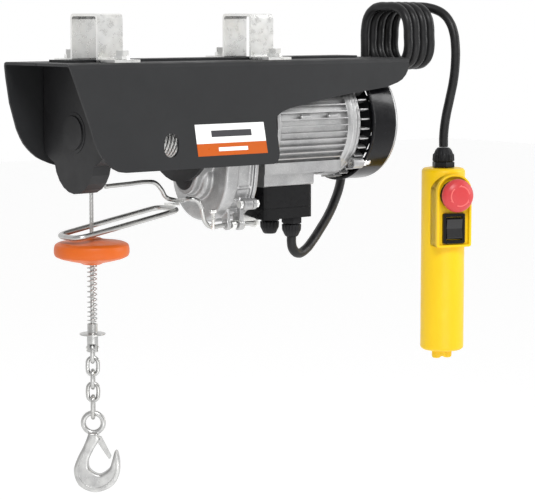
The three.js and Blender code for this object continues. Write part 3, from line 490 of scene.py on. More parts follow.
LEAD_ROUTE = [
    (148, -22, -202.6), (148, -22, -209), (151, -21, -217), (160, -19, -223),
    (174, -15, -220.5), (191, -9, -211), (210, 0, -199.5), (232, 12, -186.5), (252, 24, -172),
    (271, 37, -156), (287, 50, -136), (299, 58, -110), (306, 58, -84), (309, 51, -60),
    (309.5, 42.5, -38), (309.5, 37, -24), (309.5, 35, -10), (309.5, COIL_HALF, 8),
]
DROP_ROUTE = [
    (363.5, 2, 59.4), (368, -3, 59.2), (372.5, -9, 58.2), (377.5, -17, 55.5), (381, -26, 50.5),
    (383, -35, 41), (384, -41, 28), (384, -44, 12), (383.8, -44.5, -6), (382.5, -43, -28), (380, -39, -52),
    (377.8, -35, -74), (PENDANT_X, PENDANT_Y, -96), (PENDANT_X, PENDANT_Y, -109),
]


def coil_section(angle):
    """A point of the rounded square that a turn follows; the angle runs from +Y to +Z."""
    reach = COIL_HALF - COIL_CORNER
    c, s = math.cos(angle), math.sin(angle)
    lean = max(abs(c), abs(s))
    y, z = c / lean * COIL_HALF, s / lean * COIL_HALF
    corner = Vector((max(-reach, min(reach, y)), max(-reach, min(reach, z))))
    offset = Vector((y, z)) - corner
    if offset.length > COIL_CORNER:
        offset = offset.normalized() * COIL_CORNER
    return corner + offset


def cable_points():
    points = [point(*p) for p in LEAD_ROUTE]
    per_turn = 20
    steps = int(COIL_TURNS * per_turn)
    for i in range(1, steps):
        section = coil_section(2 * math.pi * i / per_turn)
        x = COIL_FIRST + (COIL_LAST - COIL_FIRST) * i / steps
        points.append(point(x, section.x, COIL_MIDDLE + section.y))
    return points + [point(*p) for p in DROP_ROUTE]


cable_data = spline_data("control_cable", cable_points(), CABLE_RADIUS, False, 5, 5)
cable_data.materials.append(CABLE)
control_cable = bpy.data.objects.new("control_cable", cable_data)
bpy.context.scene.collection.objects.link(control_cable)
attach(control_cable, "root")
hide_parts("cable_lead", "cable_coil", "cable_drop")


# ---------------- CAD nodes that stay
def dress(material, width, *nodes, limit=30):
    for name in nodes:
        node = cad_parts[name]
        node.data.materials.clear()
        node.data.materials.append(material)
        smooth(node.data, limit)
        if width:
            bevelled(node, width, 2, limit)


dress(ANTHRACITE, 0.9, "frame")
dress(BLACK_PAINT, 1.0, "end_support", limit=40)
dress(BLACK_PAINT, 0.8, "drum", "gear_plate", limit=40)
dress(ZINC, 0.5, "strap_left", "strap_right")
dress(ZINC, 0.5, *[f"strap_bolt_{i}" for i in range(1, 5)], limit=40)
dress(ZINC, 0.4, "gearbox_bolt", "motor_bolt", "lever_arm", limit=40)
dress(STEEL, 0.3, "drum_bearing", "drum_shaft", "idler_shaft", "motor_shaft", "rotor_core", "motor_bearing",
      limit=40)
dress(STEEL, 0.15, "drum_gear", "idler_gear", limit=40)
dress(ALUMINIUM, 0.5, "motor_housing", limit=40)
dress(ALUMINIUM, 1.4, "terminal_block")
dress(COPPER, 1.5, "stator", limit=40)
dress(BLACK_PLASTIC, 0.8, "cooling_fan", limit=40)
dress(SATIN_BLACK, 1.2, "terminal_box", "terminal_lid")
dress(GREY_PLASTIC, 1.5, "capacitor", limit=40)
dress(SATIN_BLACK, 0.8, "limit_switch", "rocker_bezel")
dress(SATIN_BLACK, 0.5, "estop_base", "estop_stem", limit=40)
dress(FORGED_ZINC, 0.35, "hook_latch", limit=40)
dress(ROCKER_BLACK, 1.6, "rocker")


# ---------------- rope
ROPE_STRANDS = 6
STRAND_DEPTH = 0.14
ROPE_LAY = 26.0


def rope_mesh(name, path, frames, body):
    """A stranded rope along path, in millimetres; frames give two directions across it at each point."""
    sides = ROPE_STRANDS * 4
    vertices, faces, travelled = [], [], 0.0
    for i, (centre, (a_axis, b_axis)) in enumerate(zip(path, frames)):
        if i:
            travelled += (centre - path[i - 1]).length
        twist = 2 * math.pi * travelled / ROPE_LAY
        for k in range(sides):
            around = 2 * math.pi * k / sides
            groove = abs(math.cos(ROPE_STRANDS * around / 2))
            radius = ROPE_RADIUS * (1 - STRAND_DEPTH + STRAND_DEPTH * groove)
            offset = a_axis * math.cos(around + twist) + b_axis * math.sin(around + twist)
            vertices.append((centre + offset * radius) * MM)
        if i:
            one, two = (i - 1) * sides, i * sides
            faces += [(one + k, one + (k + 1) % sides, two + (k + 1) % sides, two + k) for k in range(sides)]
    faces.append(tuple(range(sides - 1, -1, -1)))
    faces.append(tuple(range(len(vertices) - sides, len(vertices))))
    return add(name, vertices, faces, WIRE_ROPE, body, 80)


def wound_rope():
    """The turns on the drum, and a plain layer below them."""
    first, last, pitch, per_turn = -105.0, -2.6, 4.6, 40
    steps = int((last - first) / pitch * per_turn)
    path, frames = [], []
    for i in range(steps + 1):
        angle = 2 * math.pi * i / per_turn
        outward = Vector((0, math.cos(angle), math.sin(angle)))
        path.append(Vector((first + pitch * i / per_turn, 0, AXIS_Z - SEAT_RISE)) + outward * ROPE_Y)
        frames.append((outward, Vector((1, 0, 0))))
    rope = rope_mesh("wound_rope_turns", path, frames, "drum")
    lathe("rope_layers_below", ring(-107, -0.5, 21, 29.4), "x", axis_centre(0, AXIS_Z), WIRE_ROPE, "drum", 48)
    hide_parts("wound_rope")


def hanging_rope():
    top, low, step = AXIS_Z, -293.0, 1.6
    steps = int((top - low) / step)
    path = [Vector((ROPE_X, ROPE_Y, low - SEAT_RISE + (top - low) * i / steps)) for i in range(steps + 1)]
    frames = [(Vector((1, 0, 0)), Vector((0, 1, 0)))] * len(path)
    rope = rope_mesh("hanging_rope", path, frames, None)
    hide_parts("rope_fall")
    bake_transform(rope)


wound_rope()
hanging_rope()


# ---------------- stopper, spring and sleeve
ROPE_LINE = Vector((ROPE_X, ROPE_Y, -SEAT_RISE))


def stopper():
    top, low, radius = -191.4, -221.0, 41.2
    profile = [(low, 3.2), (low, 9.5), (low + 2, 13), (low + 4.6, 25), (low + 7.2, 35),
               (low + 9.5, radius - 1.2), (low + 13, radius), (top - 12, radius), (top - 7.5, radius - 1.0),
               (top - 5.2, 36), (top - 3.8, 25), (top - 1.8, 12.5), (top, 9.5), (top, 3.2), (low, 3.2)]
    disc = lathe("stopper_disc", profile, "z", ROPE_LINE, ORANGE, "stopper", 96, 1.6, angle=60)
    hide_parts("stopper")


def buffer_spring():
    """A coiled wire whose end turns lie a little closer together."""
    top, low, turns, per_turn = -221.6, -285.2, 12, 20
    radius, wire_radius, end_gap, closeness = 5.0, 0.65, 0.7, 0.022
    steps = turns * per_turn
    points = []
    for i in range(steps + 1):
        share = i / steps
        eased = share - closeness * math.sin(2 * math.pi * share)
        angle = 2 * math.pi * i / per_turn
        points.append(point(ROPE_X + radius * math.cos(angle), ROPE_Y + radius * math.sin(angle),
                            low + end_gap + (top - low - 2 * end_gap) * eased))
    spring = wire("buffer_spring_coil", points, wire_radius, DRAWN_ZINC, None, resolution=1, sides=3)
    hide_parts("buffer_spring")
    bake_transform(spring)


def rope_sleeve():
    """A flanged barrel on the rope's end, with two cheeks and the pin that holds the chain."""
    top, low, radius, slot_half, cheek_height = -285.8, -317.3, 6.1, 2.65, 9.4
    wall = [(low + 9, 0), (low + 9, radius), (top - 13, radius), (top - 12.5, 14.2), (top - 11, 14.2),
            (top - 10.5, 5.6), (top - 0.4, 5.6), (top, 4.6), (top, 2.6), (top - 2, 2.5), (top - 2, 0)]
    body = lathe("sleeve_barrel", wall, "z", ROPE_LINE, DRAWN_ZINC, "load", 64, 0.35)
    turn = Matrix.Rotation(HOOK_TURN + math.pi / 2, 4, "Z")
    place = point(ROPE_X, ROPE_Y, 0)
    reach = math.degrees(math.acos(slot_half / radius))
    cheek = arc(0, 0, radius, 90 - reach, 90 + reach, 14)
    middle = place + Vector((0, 0, (low + cheek_height / 2) * MM))
    for number, side in ((1, -1), (2, 1)):
        outline = [(side * a, side * b) for a, b in cheek]
        plate(f"sleeve_cheek_{number}", [outline], cheek_height / 2, 0.3, DRAWN_ZINC, "load", turn, middle)
    pin = [(-7.2, 0), (-7.2, 2.6), (-6.4, 3.0), (-6.2, 2.0), (6.2, 2.0), (6.4, 3.0), (7.2, 2.6), (7.2, 0)]
    lathe("sleeve_pin", pin, "y", Vector((0, 0, low + 3.4)), ZINC, "load", 32, 0, turn=turn, place=place)
    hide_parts("rope_sleeve")


stopper()
buffer_spring()
rope_sleeve()


# ---------------- chain, hook and latch
CHAIN_WIRE = 4.5
CHAIN_INSIDE = 6.6
LINK_LENGTHS = [14.65, 14.65, 14.65, 14.65, 19.6]
LINK_GAP = 0.3
HANG_Z = -311.6


def chain():
    """Each link hangs in the one above; returns the height of the last link's inside."""
    hang = HANG_Z
    across = CHAIN_INSIDE / 2 + CHAIN_WIRE / 2
    for i, length in enumerate(LINK_LENGTHS):
        reach = length / 2 - CHAIN_INSIDE / 2
        turn = Matrix.Rotation(HOOK_TURN + (math.pi / 2 if i % 2 == 0 else 0), 4, "Z")
        oval = arc(0, reach, across, 0, 180, 8) + arc(0, -reach, across, 180, 360, 8)
        points = [Vector((a, 0, z)) * MM for a, z in oval]
        link = wire(f"link_{i + 1}_forged", points, CHAIN_WIRE / 2, DRAWN_ZINC, f"link_{i + 1}", True, 4, 5,
                    turn, point(ROPE_X, ROPE_Y, hang - length / 2))
        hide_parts(f"chain_link_{i + 1}")
        hang += LINK_GAP - length
    return hang


EYE_RADIUS, EYE_WIRE = 10.9, 2.95
EYE_HOLE = 8.0  # from the middle of the eye to its inside
HOOK_EYE_Z = chain() - EYE_HOLE


def smooth_run(points, steps=8):
    """Catmull-Rom points through a run of pairs."""
    run = [Vector(p) for p in points]
    run = [run[0] * 2 - run[1]] + run + [run[-1] * 2 - run[-2]]
    result = []
    for p0, p1, p2, p3 in zip(run, run[1:], run[2:], run[3:]):
        for i in range(steps):
            t = i / steps
            p = 0.5 * (2 * p1 + (p2 - p0) * t + (2 * p0 - 5 * p1 + 4 * p2 - p3) * t ** 2
                       + (3 * p1 - p0 - 3 * p2 + p3) * t ** 3)
            result.append((p.x, p.y))
    result.append((run[-2].x, run[-2].y))
    return result


def hook():
    """The outlines give how far across and how far below the eye's middle each point is."""
    outer = [(-5, 10.6), (-7.2, 17), (-11.5, 27), (-18.5, 41), (-21.7, 54), (-16.5, 69), (-4, 76.4),
             (8, 76.4), (21, 70), (28.2, 58), (29.3, 44), (27.4, 33), (25.6, 30.4)]
    inner = [(23.4, 31.4), (20.4, 42), (17, 51), (6.5, 57.2), (-3.5, 51.5), (-5, 42), (0, 30), (6.4, 19),
             (6.4, 15), (5, 10.6)]
    rim = [(-6.6, 24), (-13.5, 41), (-16.2, 54), (-11.5, 66), (-2, 71.2), (7, 71.2), (17, 66), (23.6, 57),
           (25.4, 44)]
    outline = [(a, HOOK_EYE_Z - drop) for a, drop in smooth_run(outer) + smooth_run(inner)]
    turn = Matrix.Rotation(HOOK_TURN, 4, "Z")
    place = point(ROPE_X, ROPE_Y, 0)
    half, edge = 6.0, 2.6
    body = plate("hook_forged", [outline], half, edge, FORGED_ZINC, "hook", turn @ ACROSS_Y, place)
    circle = [Vector((a, 0, z)) * MM for a, z in arc(0, HOOK_EYE_Z, EYE_RADIUS, 0, 360, 24)[:-1]]
    eye = wire("hook_eye", circle, EYE_WIRE, FORGED_ZINC, "hook", True, 4, 6, turn, place)
    whole = merged("hook_forged", [body, eye])
    soften(whole, 0.55, 4)
    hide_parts("hook")
    for side, name in ((-1, "near"), (1, "far")):
        line = [Vector((a, side * (half - 0.1), HOOK_EYE_Z - drop)) * MM for a, drop in rim]
        wire(f"hook_rib_{name}", line, 0.55, FORGED_ZINC, "hook", False, 8, 3, turn, place)


hook()


# ---------------- limit lever and stop loop
LEVER_Y = -31.5
LEVER_Z = -182.0
LOOP_START, LOOP_END, LOOP_HALF = -121.0, 14.4, 20.5
LOOP_START_Z, LOOP_END_Z = -188.9, -166.0


def lever():
    route = [
        (-76, 25, -136.1), (-46, 25, -135), (-18, 25, -134.2), (-10, 24.5, -135.5), (-2, 23.5, -143),
        (4, 22, -152.5), (9, 16, -155), (5, -10, -153), (0, -26, -150.4), (7, LEVER_Y, -152.5),
        (12, LEVER_Y, -158.8), (14.6, LEVER_Y, -168), (18, LEVER_Y, -177), (25, LEVER_Y, LEVER_Z),
        (40, LEVER_Y, LEVER_Z), (91, LEVER_Y, LEVER_Z),
    ]
    rod = wire("lever_bent_rod", [point(*p) for p in route], 2.5, DRAWN_ZINC, "lever")
    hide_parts("lever_rod")


def stop_loop():
    """The long wire loop that the rope runs through, and the plate that joins it to the lever."""
    slope = (LOOP_END_Z - LOOP_START_Z) / (LOOP_END - LOOP_START)
    corner = 11.0
    right, left, half = LOOP_END - corner, LOOP_START + corner, LOOP_HALF - corner
    flat = []
    for i, (a, b) in enumerate(((right, half), (left, half), (left, -half), (right, -half))):
        flat += arc(a, b, corner, 90 * i, 90 * i + 90, 4)
    points = [point(x, ROPE_Y + y, LOOP_START_Z + (x - LOOP_START) * slope) for x, y in flat]
    loop = wire("stop_loop_wire", points, 3.0, DRAWN_ZINC, "lever", True)
    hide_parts("stop_loop")
    seam = [(7.5, 0.5), (7.5, 9.5), (24.5, 9.5), (24.5, 0.5)]
    plate("loop_weld_plate", [seam], 1.3, 0.3, ZINC, "lever",
          basis(Vector((0, 1, 0)), Vector((1, 0, 0)), Vector((0, 0, -1))), point(2, 0, -159.6))


def lever_spring():
    """Torsion spring that keeps the lever down, and the pin that holds the lever's bend."""
    turns, per_turn, radius, start_x, pitch = 4, 14, 4.2, 53, 1.5
    points = [point(start_x - 0.5, LEVER_Y + 9, LEVER_Z + 4.2)]
    for i in range(turns * per_turn + 1):
        angle = 2 * math.pi * i / per_turn + math.pi / 2
        points.append(point(start_x + pitch * i / per_turn, LEVER_Y + radius * math.cos(angle),
                            LEVER_Z + radius * math.sin(angle)))
    points += [point(59.6, LEVER_Y - 7, LEVER_Z + 4.4), point(59.8, LEVER_Y - 12, LEVER_Z + 3)]
    wire("lever_torsion_spring", points, 0.7, ZINC, "root", resolution=4, sides=3)
    pin_x, pin_y, pin_top = 24.3, -37, -165.4
    pin = [(LEVER_Z - 3.4, 0), (LEVER_Z - 3.4, 1.2), (LEVER_Z - 2.8, 1.7), (pin_top, 1.7), (pin_top, 0)]
    lathe("lever_pin", pin, "z", Vector((pin_x, pin_y, -SEAT_RISE)), ZINC, "root", 24, 0.2)
    head = [(20.2, 0), (20.2, 1.7), (20.8, 2.2), (27.8, 2.2), (28.4, 1.7), (28.4, 0)]
    lathe("lever_pin_head", head, "x", Vector((0, pin_y, -164.6 - SEAT_RISE)), ZINC, "root", 24, 0.2)


lever()
stop_loop()
lever_spring()


# ---------------- gearbox
def pear_outline(top_radius, low_radius, steps=40):
    lean = math.degrees(math.asin((top_radius - low_radius) / (AXIS_Z - IDLER_Z)))
    return arc(0, AXIS_Z - SEAT_RISE, top_radius, -lean, 180 + lean, steps) + \
        arc(0, IDLER_Z - SEAT_RISE, low_radius, 180 + lean, 360 - lean, steps)


def step_of_case(name, top_radius, low_radius, low, high, bevel):
    middle = Vector(((low + high) / 2, 0, 0)) * MM
    return plate(name, [pear_outline(top_radius, low_radius)], (high - low) / 2, bevel, ALUMINIUM, "root",
                 ACROSS_X, middle)


def turned_casting(name, profile, centre, sides=64, corner=0.0):
    """A part of a casting that is round about the X direction."""
    return lathe(name, profile, "x", centre, ALUMINIUM, "root", sides, corner)


def cast_disc(name, low, high, radius, y, z):
    return turned_casting(name, [(low, 0), (low, radius), (high, radius), (high, 0)], axis_centre(y, z), 32)


def block(name, low, high, material=ALUMINIUM):
    """A block between two corners in millimetres."""
    corners = [(x, y, z) for x in (low[0], high[0]) for y in (low[1], high[1]) for z in (low[2], high[2])]
    faces = [(0, 1, 3, 2), (4, 6, 7, 5), (0, 4, 5, 1), (2, 3, 7, 6), (0, 2, 6, 4), (1, 5, 7, 3)]
    return add(name, [point(*c) for c in corners], faces, material, "root")


def spoke(name, low, high, axis_z, angle, material=ALUMINIUM):
    """A block whose heights are counted from a shaft's axis, turned about that axis."""
    piece = block(name, low, high, material)
    piece.data.transform(Matrix.Translation(Vector((0, 0, SEAT_RISE * MM))))
    piece.data.transform(Matrix.Translation(point(0, 0, axis_z)) @ Matrix.Rotation(angle, 4, "X"))
    return piece


LUGS = [(-45.5, -158.5), (45.5, -158.5), (-47, -42), (47, -42)]
LUG_RADIUS = 6.5
CASE_END = 70.0
COVER_GAP = 0.3
COVER_THICK = 5.0
COVER_FACE = CASE_END + COVER_GAP + COVER_THICK + 0.3


def ribs_of_case(count):
    """Short ribs along the recess behind the case's rim."""
    return [spoke("case_rib", (49, -1.1, 46), (CASE_END - 1, 1.1, 51), IDLER_Z,
                  math.radians(105 + 150 * i / (count - 1))) for i in range(count)]


def gearbox():
    centre = axis_centre(0, IDLER_Z)
    low_boss = [(22, 0), (22, 24), (25, 27), (33, 28), (33, 0)]
    shells = [
        step_of_case("case_neck", 46, 21, 12, 33, 2.5),
        turned_casting("case_low_boss", low_boss, centre),
        step_of_case("case_band", 58.2, 51.2, 32, 50, 3.0),
        step_of_case("case_recess", 55.4, 48.4, 48, CASE_END, 0.6),
        step_of_case("case_lip", 58.8, 51.8, CASE_END - 2.8, CASE_END, 0.8),
        block("case_hanger", (40, -26, AXIS_Z), (CASE_END, 26, -3.4)),
        cast_disc("case_ear_left", 45, 51, 5.4, LEVER_Y, LEVER_Z),
        block("case_web_left", (46, LEVER_Y - 3.5, LEVER_Z), (50, LEVER_Y + 8, IDLER_Z - 30)),
        cast_disc("case_ear_right", 61, 69, 6.6, LEVER_Y, LEVER_Z),
        block("case_web_right", (62, LEVER_Y - 5, LEVER_Z), (68, LEVER_Y + 9, IDLER_Z - 30)),
        block("case_foot", (48, -8, IDLER_Z - 54), (64, 8, IDLER_Z - 44)),
    ]
    shells += ribs_of_case(9)
    shells += [cast_disc("case_lug", 58, CASE_END, LUG_RADIUS, y, z) for y, z in LUGS]
    shells += [block("case_gusset", (13, y - 1.5, -112), (34, y + 1.5, -84)) for y in (-22, 22)]
    case = merged("gearbox_casting", shells)
    soften(case, 0.95, 4)
    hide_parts("gearbox_case")

    low = CASE_END + COVER_GAP
    neck = [(low + 1, 0), (low + 1, 50), (low + 9, 47), (low + 13, 36), (96.7, 34), (96.7, 0)]
    lid = [step_of_case("cover_flange", 59.5, 52.5, low, low + COVER_THICK, 0.8),
           turned_casting("cover_neck", neck, axis_centre(0, AXIS_Z), 64, 2.0)]
    lid += [cast_disc("cover_lug", low, low + COVER_THICK, LUG_RADIUS, y, z) for y, z in LUGS]
    cover = merged("gearbox_lid_casting", lid)
    soften(cover, 0.8, 3)
    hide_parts("gearbox_cover")
    # Painted shade: a black disc on the front of the neck's lower lobe, coloured dark to stand in for the
    # shadow that falls on the casting there.
    boss = [(8.9, 0), (8.9, 5), (9.4, 5.6), (9.4, 13.6), (10.6, 15.8), (13, 16.4), (13, 0)]
    lathe("idler_boss_painted_shade", boss, "x", centre, BLACK_PAINT, "root", 64, 0.5)


def hexagon(across):
    return arc(0, 0, across / math.sqrt(3), 0, 360, 6)[:-1]


def gearbox_bolts():
    for i, (y, z) in enumerate(LUGS[1:]):
        for part, x in (("head", COVER_FACE + 2), ("nut", CASE_END - 14.3)):
            plate(f"gearbox_bolt_{part}_{i + 2}", [hexagon(8)], 2.0, 0.4, ZINC, "root", ACROSS_X,
                  point(x, y, z))
    for i, (y, z) in enumerate(LUGS):
        lathe(f"gearbox_washer_{i + 1}", ring(0, 0.9, 2.9, 5.6), "x",
              Vector((COVER_FACE - 0.3, y, z - SEAT_RISE)), ZINC, "root", 32)


gearbox()
gearbox_bolts()


# ---------------- motor
MOTOR_END = 213.0
SHIELD_RADIUS = 62.0
SHIELD_RIBS = 36
GRILLE_BARS = 8
COVER_START, COVER_END, COVER_RADIUS = 231.0, 272.6, 68.0
MOTOR_CENTRE = axis_centre(0, AXIS_Z)


def around_axis(angle, radius):
    return radius * math.cos(angle), AXIS_Z + radius * math.sin(angle)


def rear_shield():
    low, radius = MOTOR_END + 0.3, SHIELD_RADIUS
    bolt_y, bolt_z = -50, -120
    disc = [(low, 16.5), (low, radius), (low + 4, radius), (low + 4, 32), (low + 13, 24), (low + 13, 16.5),
            (low, 16.5)]
    parts = [turned_casting("shield_plate", disc, MOTOR_CENTRE, 72, 0.8)]
    parts += [spoke("shield_rib", (low + 3, -1.0, radius - 7), (low + 15, 1.0, radius + 3.2), AXIS_Z,
                    2 * math.pi * (i + 0.5) / SHIELD_RIBS) for i in range(SHIELD_RIBS)]
    lug = ring(low, low + 15, 3, 6.5)
    parts.append(turned_casting("shield_lug", lug, axis_centre(bolt_y, bolt_z), 32, 0.6))
    shield = bevelled(merged("rear_shield_casting", parts), 0.35, 2)
    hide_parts("rear_shield")
    plate("motor_bolt_head", [hexagon(7.5)], 2.2, 0.4, ZINC, "root", ACROSS_X,
          point(low + 19.4, bolt_y, bolt_z))


def fan_cover():
    end, inner, wall_end = COVER_END, COVER_RADIUS - 2, COVER_END - 6

    def black_ring(name, profile, sides=96):
        return lathe(name, profile, "x", MOTOR_CENTRE, GLOSS_BLACK, "root", sides, 0.3)

    cup = lathe("fan_cover_pressing", [
        (COVER_START, inner), (COVER_START, COVER_RADIUS + 0.8), (COVER_START + 2.5, COVER_RADIUS + 0.8),
        (COVER_START + 3.5, COVER_RADIUS), (wall_end, COVER_RADIUS), (wall_end, inner - 0.6),
        (COVER_START, inner)], "x", MOTOR_CENTRE, GLOSS_BLACK, "root", 128, 0.5)
    turned_casting("fan_cover_rim", [
        (wall_end, inner - 0.5), (wall_end, COVER_RADIUS - 0.1), (end - 4, COVER_RADIUS - 0.5),
        (end - 1.8, COVER_RADIUS - 1.8), (end - 1.2, COVER_RADIUS - 4.5), (end - 3, COVER_RADIUS - 5),
        (wall_end, inner - 0.5)], MOTOR_CENTRE, 128, 0.4)
    grille = [black_ring("grille_ring", ring(end - 2.2, end - 0.4, radius - 1.4, radius + 1.4))
              for radius in (14, 22, 30, 38, 46, 54)]
    grille.append(black_ring("grille_edge", [(end - 3, 58.5), (end - 3, 63.5), (end - 0.6, 63.0),
                                             (end - 0.6, 58.5), (end - 3, 58.5)]))
    grille.append(black_ring("grille_hub", [(end - 2.2, 0), (end - 2.2, 11), (end - 0.2, 11), (end, 9.5),
                                            (end, 0)], 64))
    grille += [spoke("grille_bar", (end - 3.2, -1.6, 9), (end - 1.6, 1.6, 60), AXIS_Z,
                     2 * math.pi * i / GRILLE_BARS, GLOSS_BLACK) for i in range(GRILLE_BARS)]
    merged("fan_grille", grille)
    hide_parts("fan_cover")


def cover_screws():
    for i in range(4):
        angle = math.radians(222 + 90 * i)
        outward = Vector((0, math.cos(angle), math.sin(angle)))
        turn = outward.to_track_quat("Z", "X").to_matrix().to_4x4()
        y, z = around_axis(angle, COVER_RADIUS)
        head = [(-0.5, 0), (-0.5, 3.4), (0.6, 3.4), (1.9, 2.2), (2.2, 0.9), (1.4, 0.8), (1.4, 0)]
        lathe(f"cover_screw_{i + 1}", head, "z", Vector(), ZINC, "root", 24, 0, turn=turn,
              place=point(COVER_START + 8, y, z))


def motor_details():
    """A stepped band at each end of the fins, and two ejector bosses on a middle fin."""
    rear = [(200, 55), (200, 60.2), (203.5, 61.0), (207, 61.0), (207.6, 61.6), (213, 61.6), (213, 55),
            (200, 55)]
    turned_casting("housing_band", rear, MOTOR_CENTRE, 96, 0.5)
    front = [(97, 54), (97, 60.6), (101, 60.9), (103.5, 59.5), (103.5, 54), (97, 54)]
    turned_casting("housing_front_band", front, MOTOR_CENTRE, 96, 0.5)
    y, z = around_axis(math.radians(170), 60.5)
    capsule = [(-7.5, 0), (-7.2, 1.6), (-6, 2.5), (6, 2.5), (7.2, 1.6), (7.5, 0)]
    for i, x in enumerate((138, 178)):
        turned_casting(f"fin_boss_{i + 1}", capsule, Vector((x, y + 0.9, z - SEAT_RISE)), 24, 0.4)


rear_shield()
fan_cover()
cover_screws()
motor_details()


# ---------------- terminal box and glands
def ribbed(count, depth, low, high):
    """Lengthwise grip ribs between two heights."""
    def ripple(angle, along):
        if not low <= along <= high:
            return 1.0
        return 1.0 if math.sin(count * angle) > -0.25 else 1.0 - depth
    return ripple


def cable_gland(name, y, node):
    """A domed nut with grip ribs, and the hexagon that screws into the box above it."""
    face, x, length = -179.3, 148, 23
    profile = [(face - length, 0), (face - length, 6.4), (face - length + 1, 7.6), (face - 17, 10.0),
               (face - 15.5, 10.8), (face - 9.5, 11.2), (face - 8.6, 10.2), (face - 8.2, 0)]
    dome = lathe(f"{name}_dome", profile, "z", Vector((x, y, -SEAT_RISE)), BLACK_PLASTIC, "root", 144, 0,
                 ripple=ribbed(18, 0.055, face - 18, face - 9), angle=40)
    plate(f"{name}_nut", [hexagon(21)], 3.6, 0.6, BLACK_PLASTIC, "root", Matrix.Identity(4),
          point(x, y, face - 4.0))
    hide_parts(node)


def terminal_details():
    """The lid's four screws, and a small rib on the box's end face."""
    head = [(-178.9, 0), (-179.0, 3.4), (-178.2, 3.8), (-177, 3.8), (-177, 0)]
    for i, (x, y) in enumerate(((99, -35), (159, -35), (99, 35), (159, 35))):
        lathe(f"lid_screw_{i + 1}", head, "z", Vector((x, y, -SEAT_RISE)), ZINC, "root", 24, 0.2)
    low, high = -154.2 - SEAT_RISE, -152.8 - SEAT_RISE
    plate("box_maker_rib", [[(-37, low), (37, low), (37, high), (-37, high)]], 0.35, 0.1, SATIN_BLACK, "root",
          ACROSS_X, Vector((94.0, 0, 0)) * MM)


cable_gland("control_gland", -22, "control_gland")
cable_gland("mains_gland", 18, "mains_gland")
terminal_details()


# ---------------- frame label
def frame_label():
    """A printed plate with plain bars in place of words."""
    y = -64.0
    top, middle, low = -67.0, -87.8, -101.3
    left, right = (-20.5, -15.5), (73.3, 79.6)

    def across(z, share):
        down = (top - z) / (top - low)
        a = left[0] + (left[1] - left[0]) * down
        b = right[0] + (right[1] - right[0]) * down
        return a + (b - a) * share

    def sheet(name, z_high, z_low, share_low, share_high, proud, material):
        rim = [(across(z_high, share_low), z_high), (across(z_high, share_high), z_high),
               (across(z_low, share_high), z_low), (across(z_low, share_low), z_low)]
        outline = [(x, z - SEAT_RISE) for x, z in rim]
        plate(name, [outline[::-1]], 0.14, 0.04, material, "root", ACROSS_Y, Vector((0, (y - proud) * MM, 0)))

    sheet("label_upper", top, middle, 0, 1, 0.12, LABEL_WHITE)
    sheet("label_lower", middle, low, 0, 1, 0.12, LABEL_ORANGE)
    sheet("label_bar_dark", -74.0, -81.0, 0.22, 0.80, 0.26, LABEL_GREY)
    sheet("label_bar_light", -92.4, -96.6, 0.30, 0.72, 0.26, LABEL_WHITE)


frame_label()


# ---------------- pendant
PENDANT = Matrix.Translation(point(PENDANT_X, PENDANT_Y, 0)) @ Matrix.Rotation(PENDANT_TURN, 4, "Z")
FACING = PENDANT.to_3x3().to_4x4()
ON_PENDANT = {"place": PENDANT.translation, "turn": FACING}
PENDANT_TOP, PENDANT_BOTTOM, PENDANT_RADIUS = -134.0, -355.5, 26.25
HOOD_WIDTH, HOOD_TOP, HOOD_BOTTOM, HOOD_RISE = 45.0, -140.0, -227.5, 4.8


def pendant_body():
    low, high, radius = PENDANT_BOTTOM, PENDANT_TOP, PENDANT_RADIUS
    profile = [(low, 0), (low, radius - 2.6), (low + 2.6, radius), (high - 3.5, radius),
               (high - 0.6, radius - 2.2), (high, radius - 5), (high, 9), (high - 3, 9), (high - 3, 0)]
    tube = lathe("pendant_tube", profile, "z", Vector(), YELLOW, "root", 96, 1.2, angle=50, **ON_PENDANT)
    lobe = [(low - 11, 0), (low - 11, 4.2), (low - 9.6, 5.6), (low + 1, 5.8), (low + 1, 0)]
    knob = [lathe("knob_lobe", lobe, "z", Vector((x, 0, 0)), YELLOW, "root", 40, 0.8, **ON_PENDANT)
            for x in (-7, 7)]
    bridge = [(low - 9, 0), (low - 9, 5.2), (low + 1, 6.2), (low + 1, 0)]
    knob.append(lathe("knob_bridge", bridge, "z", Vector(), YELLOW, "root", 40, 1.0, **ON_PENDANT))
    soften(merged("pendant_bottom_knob", knob), 0.5, 4)
    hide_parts("pendant_body")


def arch(half, low, high, corner, foot):
    """Outline of a plate with an arched top."""
    return (arc(half - corner, high - corner, corner, 0, 90, 14)
            + arc(corner - half, high - corner, corner, 90, 180, 14)
            + arc(foot - half, low + foot, foot, 180, 270, 4)
            + arc(half - foot, low + foot, foot, 270, 360, 4))


def pendant_hood():
    """A plate that the switches sit on, and the wall that stands proud all round it."""
    half, rim, back = HOOD_WIDTH / 2, 3.0, -8
    outer = arch(half, HOOD_BOTTOM, HOOD_TOP, 21, 3)
    room = arch(half - rim, HOOD_BOTTOM + rim, HOOD_TOP - rim, 18, 1.2)

    def layer(name, loops, front, bevel):
        return plate(name, loops, (back - front) / 2, bevel, YELLOW, "root", FACING @ ACROSS_Y,
                     PENDANT @ Vector((0, (front + back) / 2 * MM, 0)), angle=50)

    wall = layer("pendant_hood_wall", [outer, room], HOOD_FRONT - HOOD_RISE, 0.9)
    layer("pendant_hood_face", [outer], HOOD_FRONT, 0.4)
    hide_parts("pendant_hood")


